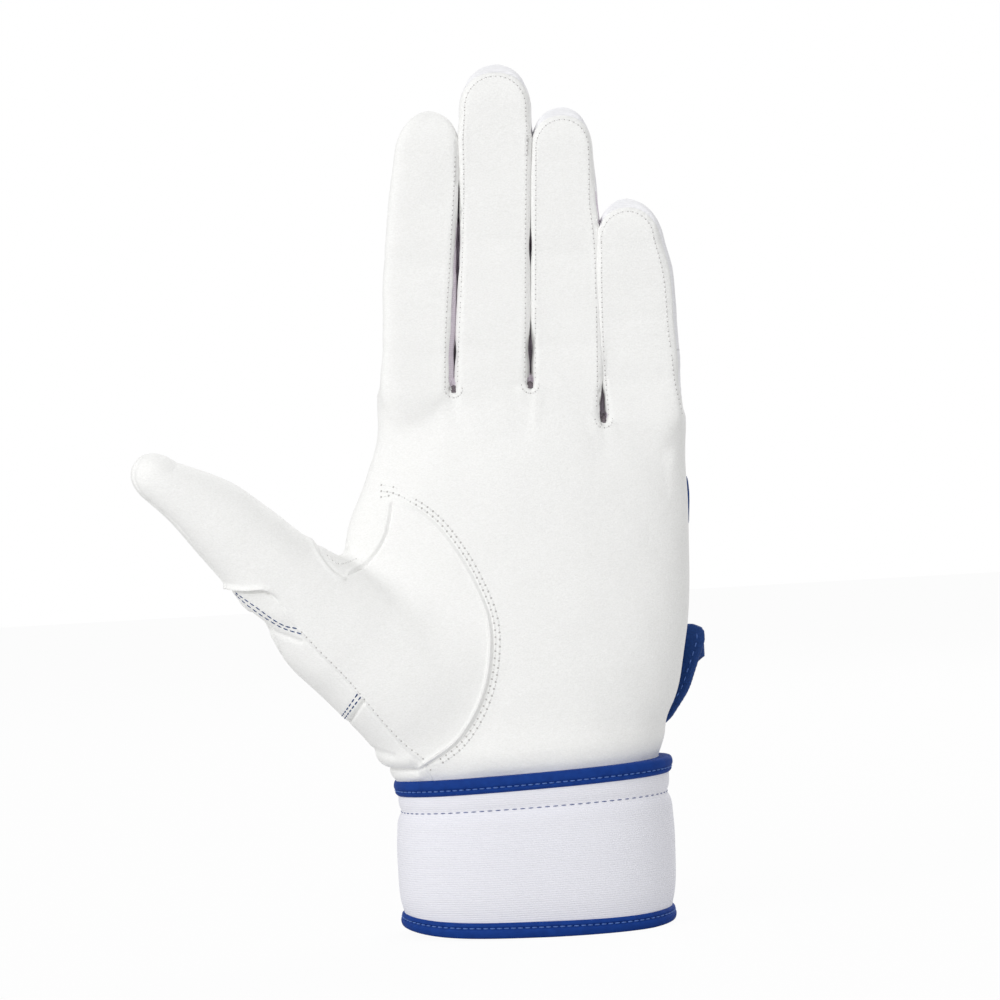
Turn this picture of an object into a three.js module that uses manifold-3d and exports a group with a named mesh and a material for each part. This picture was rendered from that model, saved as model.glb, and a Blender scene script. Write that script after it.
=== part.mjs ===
// Left-hand batting glove, standing on its cuff: fingers up (+Z), palm towards -Y, thumb towards -X.
// Lengths are millimetres and angles degrees. The glove is cut the way a real one is sewn: a hand form
// is lofted twice, once for the outside of the leather and once for the space that the hand fills, and
// the skin between the two is cut along the seams into pattern pieces.
import * as THREE from "three";
import { mergeVertices } from "three/addons/utils/BufferGeometryUtils.js";
import Module from "manifold-3d";

const wasm = await Module();
wasm.setup();

// Leather, seams and joints
const SKIN = 1.2;
const SEAM_GAP = 0.3;
const FINGER_SLIT = 0.8;
const HINGE_INSET = 3;
const HINGE_RISE = 8;
const FINGER_BASE_FLEX = 70;
const FINGER_MIDDLE_FLEX = 80;
const THUMB_FLEX = 50;
const NOTCH_MARGIN = 2;

// Cuff: a knit wristband with a folded binding on each edge
const CUFF_WIDTH = 71;
const CUFF_DEPTH = 46;
const CUFF_HEIGHT = 42;
const CUFF_WALL = 2.6;
const CUFF_OFFSET_X = 1;
const CUFF_TOP_TILT = 2;
const BINDING_HEIGHT = 3.8;
const BINDING_WALL = 0.9;

// Palm and back of the hand: left and right edges and depths as parts of the palm's breadth, at heights
// above the cuff as parts of the palm's height
const PALM_HEIGHT = 104;
const PALM_BREADTH = 90;
const HAND_PROPORTIONS = [
  { rise: -0.0577, left: -0.3711, right: 0.3844, front: 0.2222, back: 0.2056 },
  { rise: 0.0385, left: -0.3733, right: 0.3889, front: 0.2256, back: 0.2 },
  { rise: 0.1538, left: -0.4, right: 0.4556, front: 0.2278, back: 0.1944 },
  { rise: 0.3173, left: -0.4267, right: 0.4867, front: 0.2167, back: 0.1889 },
  { rise: 0.5962, left: -0.4767, right: 0.5167, front: 0.1778, back: 0.1722 },
  { rise: 0.75, left: -0.4222, right: 0.5156, front: 0.1556, back: 0.15 },
  { rise: 0.875, left: -0.3711, right: 0.5044, front: 0.1222, back: 0.1222 },
  { rise: 1, left: -0.3489, right: 0.4844, front: 0.0911, back: 0.0889 },
];
const HAND_SECTIONS = HAND_PROPORTIONS.map((s) => ({
  rise: s.rise * PALM_HEIGHT,
  left: s.left * PALM_BREADTH,
  right: s.right * PALM_BREADTH,
  front: s.front * PALM_BREADTH,
  back: s.back * PALM_BREADTH,
}));
const HAND_SQUARENESS = 2.4;

// Fingers: the row stands on the knuckle line, the little finger's crotch lies lower
const KNUCKLE_RISE = 99.5;
const LITTLE_DROP = 10;
const MIDDLE_BASE_X = -3.3;
const MIDDLE_LEAN = 4;
const FINGER_CURL = 5;
const FINGER_ROOT = 26;
const FINGER_SQUARENESS = 2.3;
const FINGER_CENTRE_Y = -0.5;
const FOURCHETTE_WIDTH = 10;
const FOURCHETTE_TIP_WIDTH = 2.5;
const INDEX = {
  width: 18.7, tipWidth: 16, depth: 18, tipDepth: 15.5,
  dome: 11, length: 73.5, middleJoint: 33,
};
const MIDDLE = {
  width: 19.2, tipWidth: 17.4, depth: 18.4, tipDepth: 16.5,
  dome: 12, length: 84.5, middleJoint: 38,
};
const RING = {
  width: 18, tipWidth: 15.8, depth: 17.6, tipDepth: 15.2,
  dome: 11, length: 73.5, middleJoint: 34,
};
const LITTLE = {
  width: 19, tipWidth: 14.4, depth: 16.8, tipDepth: 14,
  dome: 10, length: 57.5, middleJoint: 26,
};

// Thumb: a tapering stall on the swell at the thumb's root
const THUMB_ROOT_X = -22;
const THUMB_ROOT_RISE = 20;
const THUMB_ROOT_Y = -4.5;
const THUMB_ANGLE = 42;
const THUMB_FORWARD = 8;
const THUMB_LENGTH = 99.5;
const THUMB_DOME = 9;
const THUMB_JOINT = 50;
const THUMB_ROOT_SIZE = { width: 47, depth: 33 };
const THUMB_JOINT_SIZE = { width: 26.5, depth: 24 };
const THUMB_TIP_SIZE = { width: 15.2, depth: 16 };
const THUMB_BURIED = 24;
const THUMB_SPLIT = 30;
const THUMB_SPLIT_REACH = 16;

// Seams of the palm, as parts of its breadth and height: the thumb panel's arc, the hem at the thumb's
// crotch, and the line where the side panel wraps round from the back
const THUMB_SEAM = [
  [-0.2611, -0.0385], [-0.2478, 0.0288], [-0.1856, 0.0837], [-0.1111, 0.1538], [-0.07, 0.2529],
  [-0.0722, 0.3529], [-0.1167, 0.4808], [-0.21, 0.5962], [-0.3422, 0.6971], [-0.4, 0.75],
];
const INDEX_EDGE_SEAM = [
  [-0.3422, 0.6971], [-0.3667, 0.625], [-0.4167, 0.5788], [-0.4689, 0.5702], [-0.5111, 0.6538],
];
const SIDE_SEAM = [
  [-0.2944, -0.0385], [-0.3056, 0.0192], [-0.4556, 0.2019], [-0.6333, 0.3798], [-0.7333, 0.4712],
];
const KNUCKLE_PANEL_RISE = 72;
const GUSSET_WIDTH = 22;
const GUSSET_RISE = 36;
const GUSSET_X = 2;

// Closing strap across the back of the wrist, with its hook and loop pads and its pull tab
const STRAP_RISE = 10.5;
const STRAP_WIDTH = 24.5;
const STRAP_THICKNESS = 1.8;
const STRAP_ROOT_X = -22;
const STRAP_OVERHANG = 2;
const STRAP_END_SLANT = 8;
const STRAP_END_RADIUS = 5;
const PAD_THICKNESS = 1;
const PAD_MARGIN = 3;
const PAD_START_X = 6;
const PAD_LENGTH = 26;
const PULL_TAB_WIDTH = 12;
const PULL_TAB_RADIUS = 1.9;
const PULL_TAB_LENGTH = 6;
const PULL_TAB_WALL = 1;

// Fineness of the lofts
const HAND_SIDES = 36;
const FINGER_SIDES = 20;
const CUFF_SIDES = 40;
const STRAP_STEPS = 14;

const LEATHER = new THREE.MeshStandardMaterial({ color: "#f1f2f0", roughness: 0.8, metalness: 0 });
const KNIT = new THREE.MeshStandardMaterial({ color: "#e9e8f3", roughness: 0.95, metalness: 0 });
const BLUE = new THREE.MeshStandardMaterial({ color: "#23469a", roughness: 0.5, metalness: 0 });
const PAD = new THREE.MeshStandardMaterial({ color: "#e4e4ea", roughness: 1, metalness: 0 });

const rad = THREE.MathUtils.degToRad;
const lerp = THREE.MathUtils.lerp;
const FAR = 150;

// A closed geometry as a solid that can be joined and cut.
function solid(geometry) {
  const bare = geometry.clone();
  bare.deleteAttribute("normal");
  bare.deleteAttribute("uv");
  const merged = mergeVertices(bare, 1e-4);
  const triVerts = new Uint32Array(merged.index.array);
  const vertProperties = new Float32Array(merged.attributes.position.array);
  return new wasm.Manifold(new wasm.Mesh({ numProp: 3, vertProperties, triVerts }));
}

const join = (parts) => parts.reduce((whole, part) => whole.add(part));

const glove = new THREE.Group();

// Adds a solid to the glove as a named mesh.
function addPiece(name, body, material) {
  const { vertProperties, triVerts, numProp } = body.simplify(0.01).getMesh();
  const position = new Float32Array((vertProperties.length / numProp) * 3);
  for (let i = 0; i < position.length / 3; i++) {
    position.set(vertProperties.subarray(i * numProp, i * numProp + 3), i * 3);
  }
  const geometry = new THREE.BufferGeometry();
  geometry.setAttribute("position", new THREE.BufferAttribute(position, 3));
  geometry.setIndex(new THREE.BufferAttribute(new Uint32Array(triVerts), 1));
  geometry.computeVertexNormals();
  const mesh = new THREE.Mesh(geometry, material);
  mesh.name = name;
  glove.add(mesh);
}

// Closed loft through rings that all run the same way round, with a flat cap at each end.
function loft(rings) {
  const sides = rings[0].length;
  const points = rings.flat();
  const index = [];
  for (let i = 0; i + 1 < rings.length; i++) {
    for (let j = 0; j < sides; j++) {
      const k = (j + 1) % sides;
      const [a, b, c, d] = [i * sides + j, i * sides + k, (i + 1) * sides + k, (i + 1) * sides + j];
      index.push(a, b, c, a, c, d);
    }
  }
  const last = (rings.length - 1) * sides;
  for (let j = 1; j + 1 < sides; j++) {
    index.push(0, j + 1, j);
    index.push(last, last + j, last + j + 1);
  }
  const geometry = new THREE.BufferGeometry().setFromPoints(points);
  geometry.setIndex(index);
  return geometry;
}

// Ring of a rounded section in the XY plane: front is the depth towards -Y, back the depth towards +Y.
function ring({ x = 0, y = 0, z, halfWidth, front, back, squareness, sides, tilt = 0 }) {
  const points = [];
  for (let j = 0; j < sides; j++) {
    const angle = (2 * Math.PI * j) / sides;
    const across = Math.sign(Math.cos(angle)) * Math.abs(Math.cos(angle)) ** (2 / squareness);
    const deep = Math.sign(Math.sin(angle)) * Math.abs(Math.sin(angle)) ** (2 / squareness);
    const px = x + across * halfWidth;
    points.push(new THREE.Vector3(px, y + deep * (deep < 0 ? front : back), z + px * tilt));
  }
  return points;
}

// Prism of an outline drawn in the XZ plane, from y0 to y1.
function prismXZ(outline, y0, y1) {
  const shape = new THREE.Shape(outline.map(([x, z]) => new THREE.Vector2(x, z)));
  const geometry = new THREE.ExtrudeGeometry(shape, { depth: y1 - y0, bevelEnabled: false });
  return solid(geometry.rotateX(Math.PI / 2).translate(0, y1, 0));
}

// Prism of an outline drawn in the YZ plane, from x0 to x1, moved by a frame.
const YZX = new THREE.Matrix4().makeBasis(
  new THREE.Vector3(0, 1, 0), new THREE.Vector3(0, 0, 1), new THREE.Vector3(1, 0, 0),
);
function prismYZ(outline, x0, x1, frame) {
  const shape = new THREE.Shape(outline.map(([y, z]) => new THREE.Vector2(y, z)));
  const geometry = new THREE.ExtrudeGeometry(shape, { depth: x1 - x0, bevelEnabled: false });
  return solid(geometry.applyMatrix4(YZX).translate(x0, 0, 0).applyMatrix4(frame));
}

// The same smooth line through a seam's points, as points of the XZ plane at their real height.
function seamLine(points, steps) {
  const line = new THREE.SplineCurve(
    points.map(([x, rise]) => new THREE.Vector2(x * PALM_BREADTH, CUFF_HEIGHT + rise * PALM_HEIGHT)),
  );
  return line.getPoints(steps).map((p) => [p.x, p.y]);
}

// The narrow strip that a seam takes out of the skin.
function kerf(line, y0, y1) {
  const left = [];
  const right = [];
  line.forEach(([x, z], i) => {
    const [ax, az] = line[Math.max(i - 1, 0)];
    const [bx, bz] = line[Math.min(i + 1, line.length - 1)];
    const length = Math.hypot(bx - ax, bz - az);
    const [nx, nz] = [((az - bz) / length) * (SEAM_GAP / 2), ((bx - ax) / length) * (SEAM_GAP / 2)];
    left.push([x + nx, z + nz]);
    right.push([x - nx, z - nz]);
  });
  return prismXZ([...left, ...right.reverse()], y0, y1);
}

// Hand form

const cuffTilt = Math.tan(rad(CUFF_TOP_TILT));
const cuffTop = (x) => CUFF_HEIGHT + cuffTilt * x;

// Section of the palm at any height: a smooth curve through the stations.
const sectionCurve = (key) =>
  new THREE.SplineCurve(HAND_SECTIONS.map((s) => new THREE.Vector2(s.rise, s[key])));
const SECTION_KEYS = ["left", "right", "front", "back"];
const sectionCurves = Object.fromEntries(SECTION_KEYS.map((key) => [key, sectionCurve(key)]));
function handSection(z) {
  const rise = z - CUFF_HEIGHT;
  const last = HAND_SECTIONS.length - 1;
  let i = HAND_SECTIONS.findIndex((s) => s.rise > rise) - 1;
  if (i < 0) i = rise <= HAND_SECTIONS[0].rise ? 0 : last - 1;
  const [a, b] = [HAND_SECTIONS[i], HAND_SECTIONS[i + 1]];
  const t = (i + THREE.MathUtils.clamp((rise - a.rise) / (b.rise - a.rise), 0, 1)) / last;
  const at = (key) => sectionCurves[key].getPoint(t).y;
  const [left, right] = [at("left"), at("right")];
  return { x: (left + right) / 2, halfWidth: (right - left) / 2, front: at("front"), back: at("back") };
}

const HAND_RINGS = 14;
function handLoft(inset) {
  const [first, last] = [HAND_SECTIONS[0].rise, HAND_SECTIONS[HAND_SECTIONS.length - 1].rise];
  const rings = [];
  for (let i = 0; i <= HAND_RINGS; i++) {
    const z = CUFF_HEIGHT + lerp(first, last, i / HAND_RINGS);
    const s = handSection(z);
    rings.push(ring({
      x: s.x, z, halfWidth: s.halfWidth - inset, front: s.front - inset, back: s.back - inset,
      squareness: HAND_SQUARENESS, sides: HAND_SIDES,
    }));
  }
  return solid(loft(rings));
}

// Fingers stand side by side: each leans so that its edge runs along its neighbour's at the slit.
const knuckleZ = CUFF_HEIGHT + KNUCKLE_RISE;
const edgeAngle = (f) => Math.atan((f.width - f.tipWidth) / 2 / (f.length - f.dome));
const fingers = [
  { name: "index", size: INDEX, sides: ["right"] },
  { name: "middle", size: MIDDLE, sides: ["left", "right"] },
  { name: "ring", size: RING, sides: ["left", "right"] },
  { name: "little", size: LITTLE, sides: ["left"] },
];
const [index, middle, ringFinger, little] = fingers;
middle.lean = rad(MIDDLE_LEAN);
index.lean = middle.lean + edgeAngle(MIDDLE) + edgeAngle(INDEX);
ringFinger.lean = middle.lean - edgeAngle(MIDDLE) - edgeAngle(RING);
little.lean = ringFinger.lean - edgeAngle(RING) - edgeAngle(LITTLE);
middle.x = MIDDLE_BASE_X;
index.x = middle.x - (MIDDLE.width + INDEX.width) / 2 - FINGER_SLIT;
ringFinger.x = middle.x + (MIDDLE.width + RING.width) / 2 + FINGER_SLIT;
little.x = ringFinger.x + (RING.width + LITTLE.width) / 2 + FINGER_SLIT
  - LITTLE_DROP * Math.tan(ringFinger.lean - edgeAngle(RING));
for (const f of fingers) {
  f.z = f === little ? knuckleZ - LITTLE_DROP : knuckleZ;
  f.frame = new THREE.Matrix4().makeRotationY(f.lean).setPosition(f.x, FINGER_CENTRE_Y, f.z);
  f.baseJoint = HINGE_RISE;
  f.middleJoint = f.size.middleJoint;
}

// Half sizes of a finger and the bow of its middle line at a distance along it.
function fingerAt(f, s) {
  const straight = f.size.length - f.size.dome;
  const t = THREE.MathUtils.clamp(s / straight, 0, 1);
  const past = THREE.MathUtils.clamp((s - straight) / f.size.dome, 0, 1);
  const round = Math.sqrt(1 - past ** 2.2);
  return {
    halfWidth: (lerp(f.size.width, f.size.tipWidth, t) / 2) * round,
    halfDepth: (lerp(f.size.depth, f.size.tipDepth, t) / 2) * round,
    y: -FINGER_CURL * Math.max(s / f.size.length, 0) ** 2,
  };
}

const DOME_STEPS = [0.3, 0.55, 0.76, 0.9, 0.98];
function fingerLoft(f, inset) {
  const straight = f.size.length - f.size.dome;
  const stations = [-FINGER_ROOT, -FINGER_ROOT / 2];
  stations.push(...[0, 0.25, 0.5, 0.75, 1].map((t) => t * straight));
  stations.push(...DOME_STEPS.map((t) => straight + t * f.size.dome));
  const rings = stations.map((s) => {
    const at = fingerAt(f, s);
    const z = s > straight ? s - (inset * (s - straight)) / f.size.dome : s;
    const shrink = s > straight ? inset * (at.halfWidth / (f.size.tipWidth / 2)) : inset;
    const halfDepth = at.halfDepth - shrink;
    return ring({
      y: at.y, z, halfWidth: at.halfWidth - shrink, front: halfDepth, back: halfDepth,
      squareness: FINGER_SQUARENESS, sides: FINGER_SIDES,
    });
  });
  return solid(loft(rings).applyMatrix4(f.frame));
}

// Thumb
const thumbAxis = new THREE.Vector3(
  -Math.cos(rad(THUMB_ANGLE)) * Math.cos(rad(THUMB_FORWARD)),
  -Math.sin(rad(THUMB_FORWARD)),
  Math.sin(rad(THUMB_ANGLE)) * Math.cos(rad(THUMB_FORWARD)),
);
const thumbAcross = new THREE.Vector3(Math.sin(rad(THUMB_ANGLE)), 0, Math.cos(rad(THUMB_ANGLE)));
const thumbBack = new THREE.Vector3().crossVectors(thumbAxis, thumbAcross);
const thumbFrame = new THREE.Matrix4()
  .makeBasis(thumbAcross, thumbBack, thumbAxis)
  .setPosition(THUMB_ROOT_X, THUMB_ROOT_Y, CUFF_HEIGHT + THUMB_ROOT_RISE);

function thumbAt(s) {
  const straight = THUMB_LENGTH - THUMB_DOME;
  const [a, b, t] = s < THUMB_JOINT
    ? [THUMB_ROOT_SIZE, THUMB_JOINT_SIZE, s / THUMB_JOINT]
    : [THUMB_JOINT_SIZE, THUMB_TIP_SIZE, Math.min((s - THUMB_JOINT) / (straight - THUMB_JOINT), 1)];
  const past = THREE.MathUtils.clamp((s - straight) / THUMB_DOME, 0, 1);
  const round = Math.sqrt(1 - past ** 2.2);
  const ease = s < 0 ? 1 + s / (2 * THUMB_BURIED) : 1;
  return {
    halfWidth: (lerp(a.width, b.width, Math.max(t, 0)) / 2) * round * ease,
    halfDepth: (lerp(a.depth, b.depth, Math.max(t, 0)) / 2) * round * ease,
  };
}

function thumbLoft(inset) {
  const straight = THUMB_LENGTH - THUMB_DOME;
  const beyond = straight - THUMB_JOINT;
  const stations = [-THUMB_BURIED, 0, THUMB_JOINT / 2, THUMB_JOINT, THUMB_JOINT + beyond / 2, straight];
  stations.push(...DOME_STEPS.map((t) => straight + t * THUMB_DOME));
  const rings = stations.map((s) => {
    const at = thumbAt(s);
    const z = s > straight ? s - (inset * (s - straight)) / THUMB_DOME : s;
    const shrink = s > straight ? inset * (at.halfWidth / (THUMB_TIP_SIZE.width / 2)) : inset;
    return ring({
      z, halfWidth: at.halfWidth - shrink, front: at.halfDepth - shrink, back: at.halfDepth - shrink,
      squareness: FINGER_SQUARENESS, sides: FINGER_SIDES,
    });
  });
  return solid(loft(rings).applyMatrix4(thumbFrame));
}

// Joint lines: a stall bends about a line just inside its palm side, and a notch leaves room for the fold.
const NOTCH_ROOM = 3;
function joint(s, flex, y, halfDepth) {
  return {
    s, flex, slope: Math.tan(rad(flex / 2 + NOTCH_MARGIN)), y: y - halfDepth + HINGE_INSET,
    front: y - halfDepth - NOTCH_ROOM, back: y + halfDepth + NOTCH_ROOM,
  };
}
// The edge of what lies beyond (+1) or before (-1) a joint, from front to back.
function jointEdge(j, way) {
  const s = j.s + (way * SEAM_GAP) / 2;
  return [[j.front, s + way * (j.y - j.front) * j.slope], [j.y, s], [j.back, s]];
}
const before = (j) => {
  const edge = jointEdge(j, -1);
  return [[-FAR, -FAR], [-FAR, edge[0][1]], ...edge, [FAR, edge[2][1]], [FAR, -FAR]].reverse();
};
const beyond = (j, end) => [...jointEdge(j, 1), [j.back, end], [j.front, end]];
const between = (j, k) => [...jointEdge(j, 1), ...jointEdge(k, -1).reverse()];

for (const f of fingers) {
  const base = fingerAt(f, f.baseJoint);
  const mid = fingerAt(f, f.middleJoint);
  f.base = joint(f.baseJoint, FINGER_BASE_FLEX, base.y, base.halfDepth);
  f.mid = joint(f.middleJoint, FINGER_MIDDLE_FLEX, mid.y, mid.halfDepth);
  f.reach = f.size.width / 2 + FINGER_SLIT / 4;
}
const thumbJoint = joint(THUMB_JOINT, THUMB_FLEX, 0, thumbAt(THUMB_JOINT).halfDepth);
const thumbReach = THUMB_ROOT_SIZE.width;

// Fourchettes: the strips that line the facing sides of two fingers, narrowing to the tips.
function fourchetteBand(f, side, grow, from) {
  const straight = f.size.length - f.size.dome;
  const edge = (s, way) => {
    const t = THREE.MathUtils.clamp(s / straight, 0, 1);
    return [fingerAt(f, s).y + way * (lerp(FOURCHETTE_WIDTH, FOURCHETTE_TIP_WIDTH, t) / 2 + grow), s];
  };
  const stations = [from - grow, 0.35 * straight, 0.7 * straight, straight + grow];
  const outline = [...stations.map((s) => edge(s, 1)), ...stations.map((s) => edge(s, -1)).reverse()];
  const reach = f.size.width / 2 + FINGER_SLIT;
  const [x0, x1] = side === "left" ? [-reach, 0] : [0, reach];
  return prismYZ(outline, x0, x1, f.frame);
}
// Everything in front of (-1) or behind (+1) a finger's middle line.
function fingerHalf(f, way) {
  const stations = [-FAR, 0, f.size.length / 2, f.size.length + NOTCH_ROOM];
  const middleLine = stations.map((s) => [fingerAt(f, s).y + (way * SEAM_GAP) / 2, s]);
  const outline = [...middleLine, [way * FAR, f.size.length + NOTCH_ROOM], [way * FAR, -FAR]];
  return prismYZ(way > 0 ? outline.reverse() : outline, -f.size.width, f.size.width, f.frame);
}

// Skins

const fingerOuter = fingers.map((f) => fingerLoft(f, 0));
const fingerInner = fingers.map((f) => fingerLoft(f, SKIN));
const thumbOuter = thumbLoft(0);
const thumbInner = thumbLoft(SKIN);

// The palm ends at the crotches between the fingers.
function belowCrotches(lower) {
  const top = knuckleZ - lower;
  const slitX = (ringFinger.x + little.x) / 2;
  const crotchLine = [[FAR, top - LITTLE_DROP], [slitX, top - LITTLE_DROP], [ringFinger.x, top], [-FAR, top]];
  return prismXZ([[-FAR, -FAR], [FAR, -FAR], ...crotchLine], -FAR, FAR);
}
const cuffEdge = [-FAR, FAR].map((x) => [x, cuffTop(x) + SEAM_GAP]);
const aboveCuff = prismXZ([...cuffEdge, [FAR, 2 * FAR], [-FAR, 2 * FAR]], -FAR, FAR);
const handOuter = join([
  handLoft(0).intersect(belowCrotches(0)),
  ...fingers.map((f, i) => fingerOuter[i].intersect(prismYZ(before(f.base), -f.reach, f.reach, f.frame))),
  thumbOuter.intersect(prismYZ(before(thumbJoint), -thumbReach, thumbReach, thumbFrame)),
]);
const handInner = join([handLoft(SKIN).intersect(belowCrotches(SKIN)), ...fingerInner, thumbInner]);
const handSkin = handOuter.subtract(handInner).intersect(aboveCuff);

// Pattern pieces of the hand
const thumbSeam = seamLine(THUMB_SEAM, 24);
const indexEdgeSeam = seamLine(INDEX_EDGE_SEAM, 8);
const sideSeam = seamLine(SIDE_SEAM, 12);
const sideCorners = [[-FAR, sideSeam[sideSeam.length - 1][1]], [-FAR, -FAR], [sideSeam[0][0], -FAR]];
const sideRegion = prismXZ([...sideSeam, ...sideCorners].reverse(), -FAR, FAR);
const seamTop = indexEdgeSeam[0];
const thumbSeamToEdge = thumbSeam.filter(([, z]) => z < seamTop[1]);
const thumbRegion = prismXZ(
  [...thumbSeamToEdge, ...indexEdgeSeam, [-FAR, 2 * FAR], [-FAR, -FAR], [thumbSeam[0][0], -FAR]],
  -FAR, FAR,
).subtract(sideRegion);
// Palm and back part along the middle of the hand, and along the thumb's own middle on its swell.
const everywhere = [[-FAR, -FAR], [FAR, -FAR], [FAR, 2 * FAR], [-FAR, 2 * FAR]];
const thumbBackZone = (way) => {
  const [y, s] = [(way * SEAM_GAP) / 2, THUMB_SPLIT + (way * SEAM_GAP) / 2];
  return prismYZ([[y, s], [FAR, s], [FAR, FAR], [y, FAR]], -thumbReach, THUMB_SPLIT_REACH, thumbFrame);
};
const frontHalf = prismXZ(everywhere, -FAR, -SEAM_GAP / 2).subtract(thumbBackZone(-1));
const backHalf = prismXZ(everywhere, SEAM_GAP / 2, FAR).add(thumbBackZone(1));
const knucklePanelZ = CUFF_HEIGHT + KNUCKLE_PANEL_RISE;
const knuckleRegion = prismXZ(
  [[-FAR, knucklePanelZ], [FAR, knucklePanelZ], [FAR, 2 * FAR], [-FAR, 2 * FAR]], -FAR, FAR,
);
const gussetApex = [GUSSET_X, CUFF_HEIGHT + GUSSET_RISE];
const gussetEdge = (way) => [
  [GUSSET_X + (way * GUSSET_WIDTH) / 2, 0], [GUSSET_X + (way * GUSSET_WIDTH) / 2, CUFF_HEIGHT], gussetApex,
];
const gussetRegion = prismXZ([...gussetEdge(1), ...gussetEdge(-1).slice(0, 2).reverse()], 0, FAR);
const kerfs = join([
  kerf(thumbSeam.filter(([, z]) => z < seamTop[1] + SKIN), -FAR, 0),
  kerf(indexEdgeSeam, -FAR, 0),
  kerf(sideSeam, -FAR, FAR),
  kerf([[-FAR, knucklePanelZ], [FAR, knucklePanelZ]], 0, FAR),
  kerf(gussetEdge(1), 0, FAR),
  kerf(gussetEdge(-1), 0, FAR),
]);

const crotches = [[index, middle], [middle, ringFinger], [ringFinger, little]].map(([a, b]) => {
  const depth = FOURCHETTE_WIDTH / 2;
  const drop = a.z - b.z;
  const bands = (grow) =>
    fourchetteBand(a, "right", grow, -depth - drop).add(fourchetteBand(b, "left", grow, -depth));
  return { name: `fourchette_${a.name}_${b.name}`, piece: bands(-SEAM_GAP / 2), room: bands(SEAM_GAP / 2) };
});
const cutSkin = handSkin.subtract(kerfs).subtract(join(crotches.map((c) => c.room)));
const frontSkin = cutSkin.intersect(frontHalf);
const backSkin = cutSkin.intersect(backHalf);

addPiece("palm_panel", frontSkin.subtract(thumbRegion).subtract(sideRegion), LEATHER);
addPiece("thumb_base_panel", frontSkin.intersect(thumbRegion), LEATHER);
addPiece("thumb_side_panel", cutSkin.intersect(sideRegion), LEATHER);
addPiece("knuckle_panel", backSkin.intersect(knuckleRegion).subtract(sideRegion), KNIT);
const besideBack = join([knuckleRegion, sideRegion, gussetRegion]);
addPiece("back_hand_panel", backSkin.subtract(besideBack), LEATHER);
addPiece("wrist_gusset", backSkin.intersect(gussetRegion), KNIT);
for (const c of crotches) addPiece(c.name, handSkin.intersect(c.piece), KNIT);

// Finger stalls: each joint parts the stall into a lower and an upper piece of every panel
fingers.forEach((f, i) => {
  const skin = fingerOuter[i].subtract(fingerInner[i]);
  const stretches = { lower: between(f.base, f.mid), upper: beyond(f.mid, f.size.length + NOTCH_ROOM) };
  for (const [stretch, outline] of Object.entries(stretches)) {
    const part = skin.intersect(prismYZ(outline, -f.size.width, f.size.width, f.frame));
    const room = join(f.sides.map((side) => fourchetteBand(f, side, SEAM_GAP / 2, 0)));
    const panels = part.subtract(room);
    addPiece(`${f.name}_${stretch}_front`, panels.intersect(fingerHalf(f, -1)), LEATHER);
    addPiece(`${f.name}_${stretch}_back`, panels.intersect(fingerHalf(f, 1)), KNIT);
    for (const side of f.sides) {
      const band = fourchetteBand(f, side, -SEAM_GAP / 2, 0);
      addPiece(`${f.name}_${stretch}_fourchette_${side}`, part.intersect(band), KNIT);
    }
  }
});

// Thumb stall
const thumbStall = thumbOuter.subtract(thumbInner)
  .intersect(prismYZ(beyond(thumbJoint, THUMB_LENGTH + NOTCH_ROOM), -thumbReach, thumbReach, thumbFrame));
function thumbHalf(way) {
  const y = (way * SEAM_GAP) / 2;
  const outline = [[y, -FAR], [y, FAR], [way * FAR, FAR], [way * FAR, -FAR]];
  return prismYZ(way > 0 ? outline.reverse() : outline, -thumbReach, thumbReach, thumbFrame);
}
addPiece("thumb_front", thumbStall.intersect(thumbHalf(-1)), LEATHER);
addPiece("thumb_back", thumbStall.intersect(thumbHalf(1)), LEATHER);

// Cuff

// Tube of the cuff's section, grown outwards, between two heights, each with its own tilt.
function cuffTube(grow, z0, z1, tilt0, tilt1) {
  const halfWidth = CUFF_WIDTH / 2 - BINDING_WALL + grow;
  const halfDepth = CUFF_DEPTH / 2 - BINDING_WALL + grow;
  const section = {
    x: CUFF_OFFSET_X, halfWidth, front: halfDepth, back: halfDepth,
    squareness: HAND_SQUARENESS, sides: CUFF_SIDES,
  };
  return solid(loft([ring({ ...section, z: z0, tilt: tilt0 }), ring({ ...section, z: z1, tilt: tilt1 })]));
}
const cuffRing = (grow, wall, z0, z1, tilt0, tilt1) =>
  cuffTube(grow, z0, z1, tilt0, tilt1).subtract(cuffTube(grow - wall, z0 - SKIN, z1 + SKIN, tilt0, tilt1));
const bandFloor = BINDING_WALL + SEAM_GAP;
const bandRoof = CUFF_HEIGHT - BINDING_WALL - SEAM_GAP;
const foldWall = CUFF_WALL + 2 * (SEAM_GAP + BINDING_WALL);
const slotWall = CUFF_WALL + 2 * SEAM_GAP;
const fold = SEAM_GAP + BINDING_WALL;
addPiece("cuff_band", cuffRing(0, CUFF_WALL, bandFloor, bandRoof, 0, cuffTilt), KNIT);
addPiece("cuff_bottom_binding",
  cuffRing(fold, foldWall, 0, BINDING_HEIGHT, 0, 0)
    .subtract(cuffRing(SEAM_GAP, slotWall, BINDING_WALL, CUFF_HEIGHT, 0, 0)), BLUE);
addPiece("cuff_top_binding",
  cuffRing(fold, foldWall, CUFF_HEIGHT - BINDING_HEIGHT, CUFF_HEIGHT, cuffTilt, cuffTilt)
    .subtract(cuffRing(SEAM_GAP, slotWall, 0, CUFF_HEIGHT - BINDING_WALL, cuffTilt, cuffTilt)), BLUE);

// Strap

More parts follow.
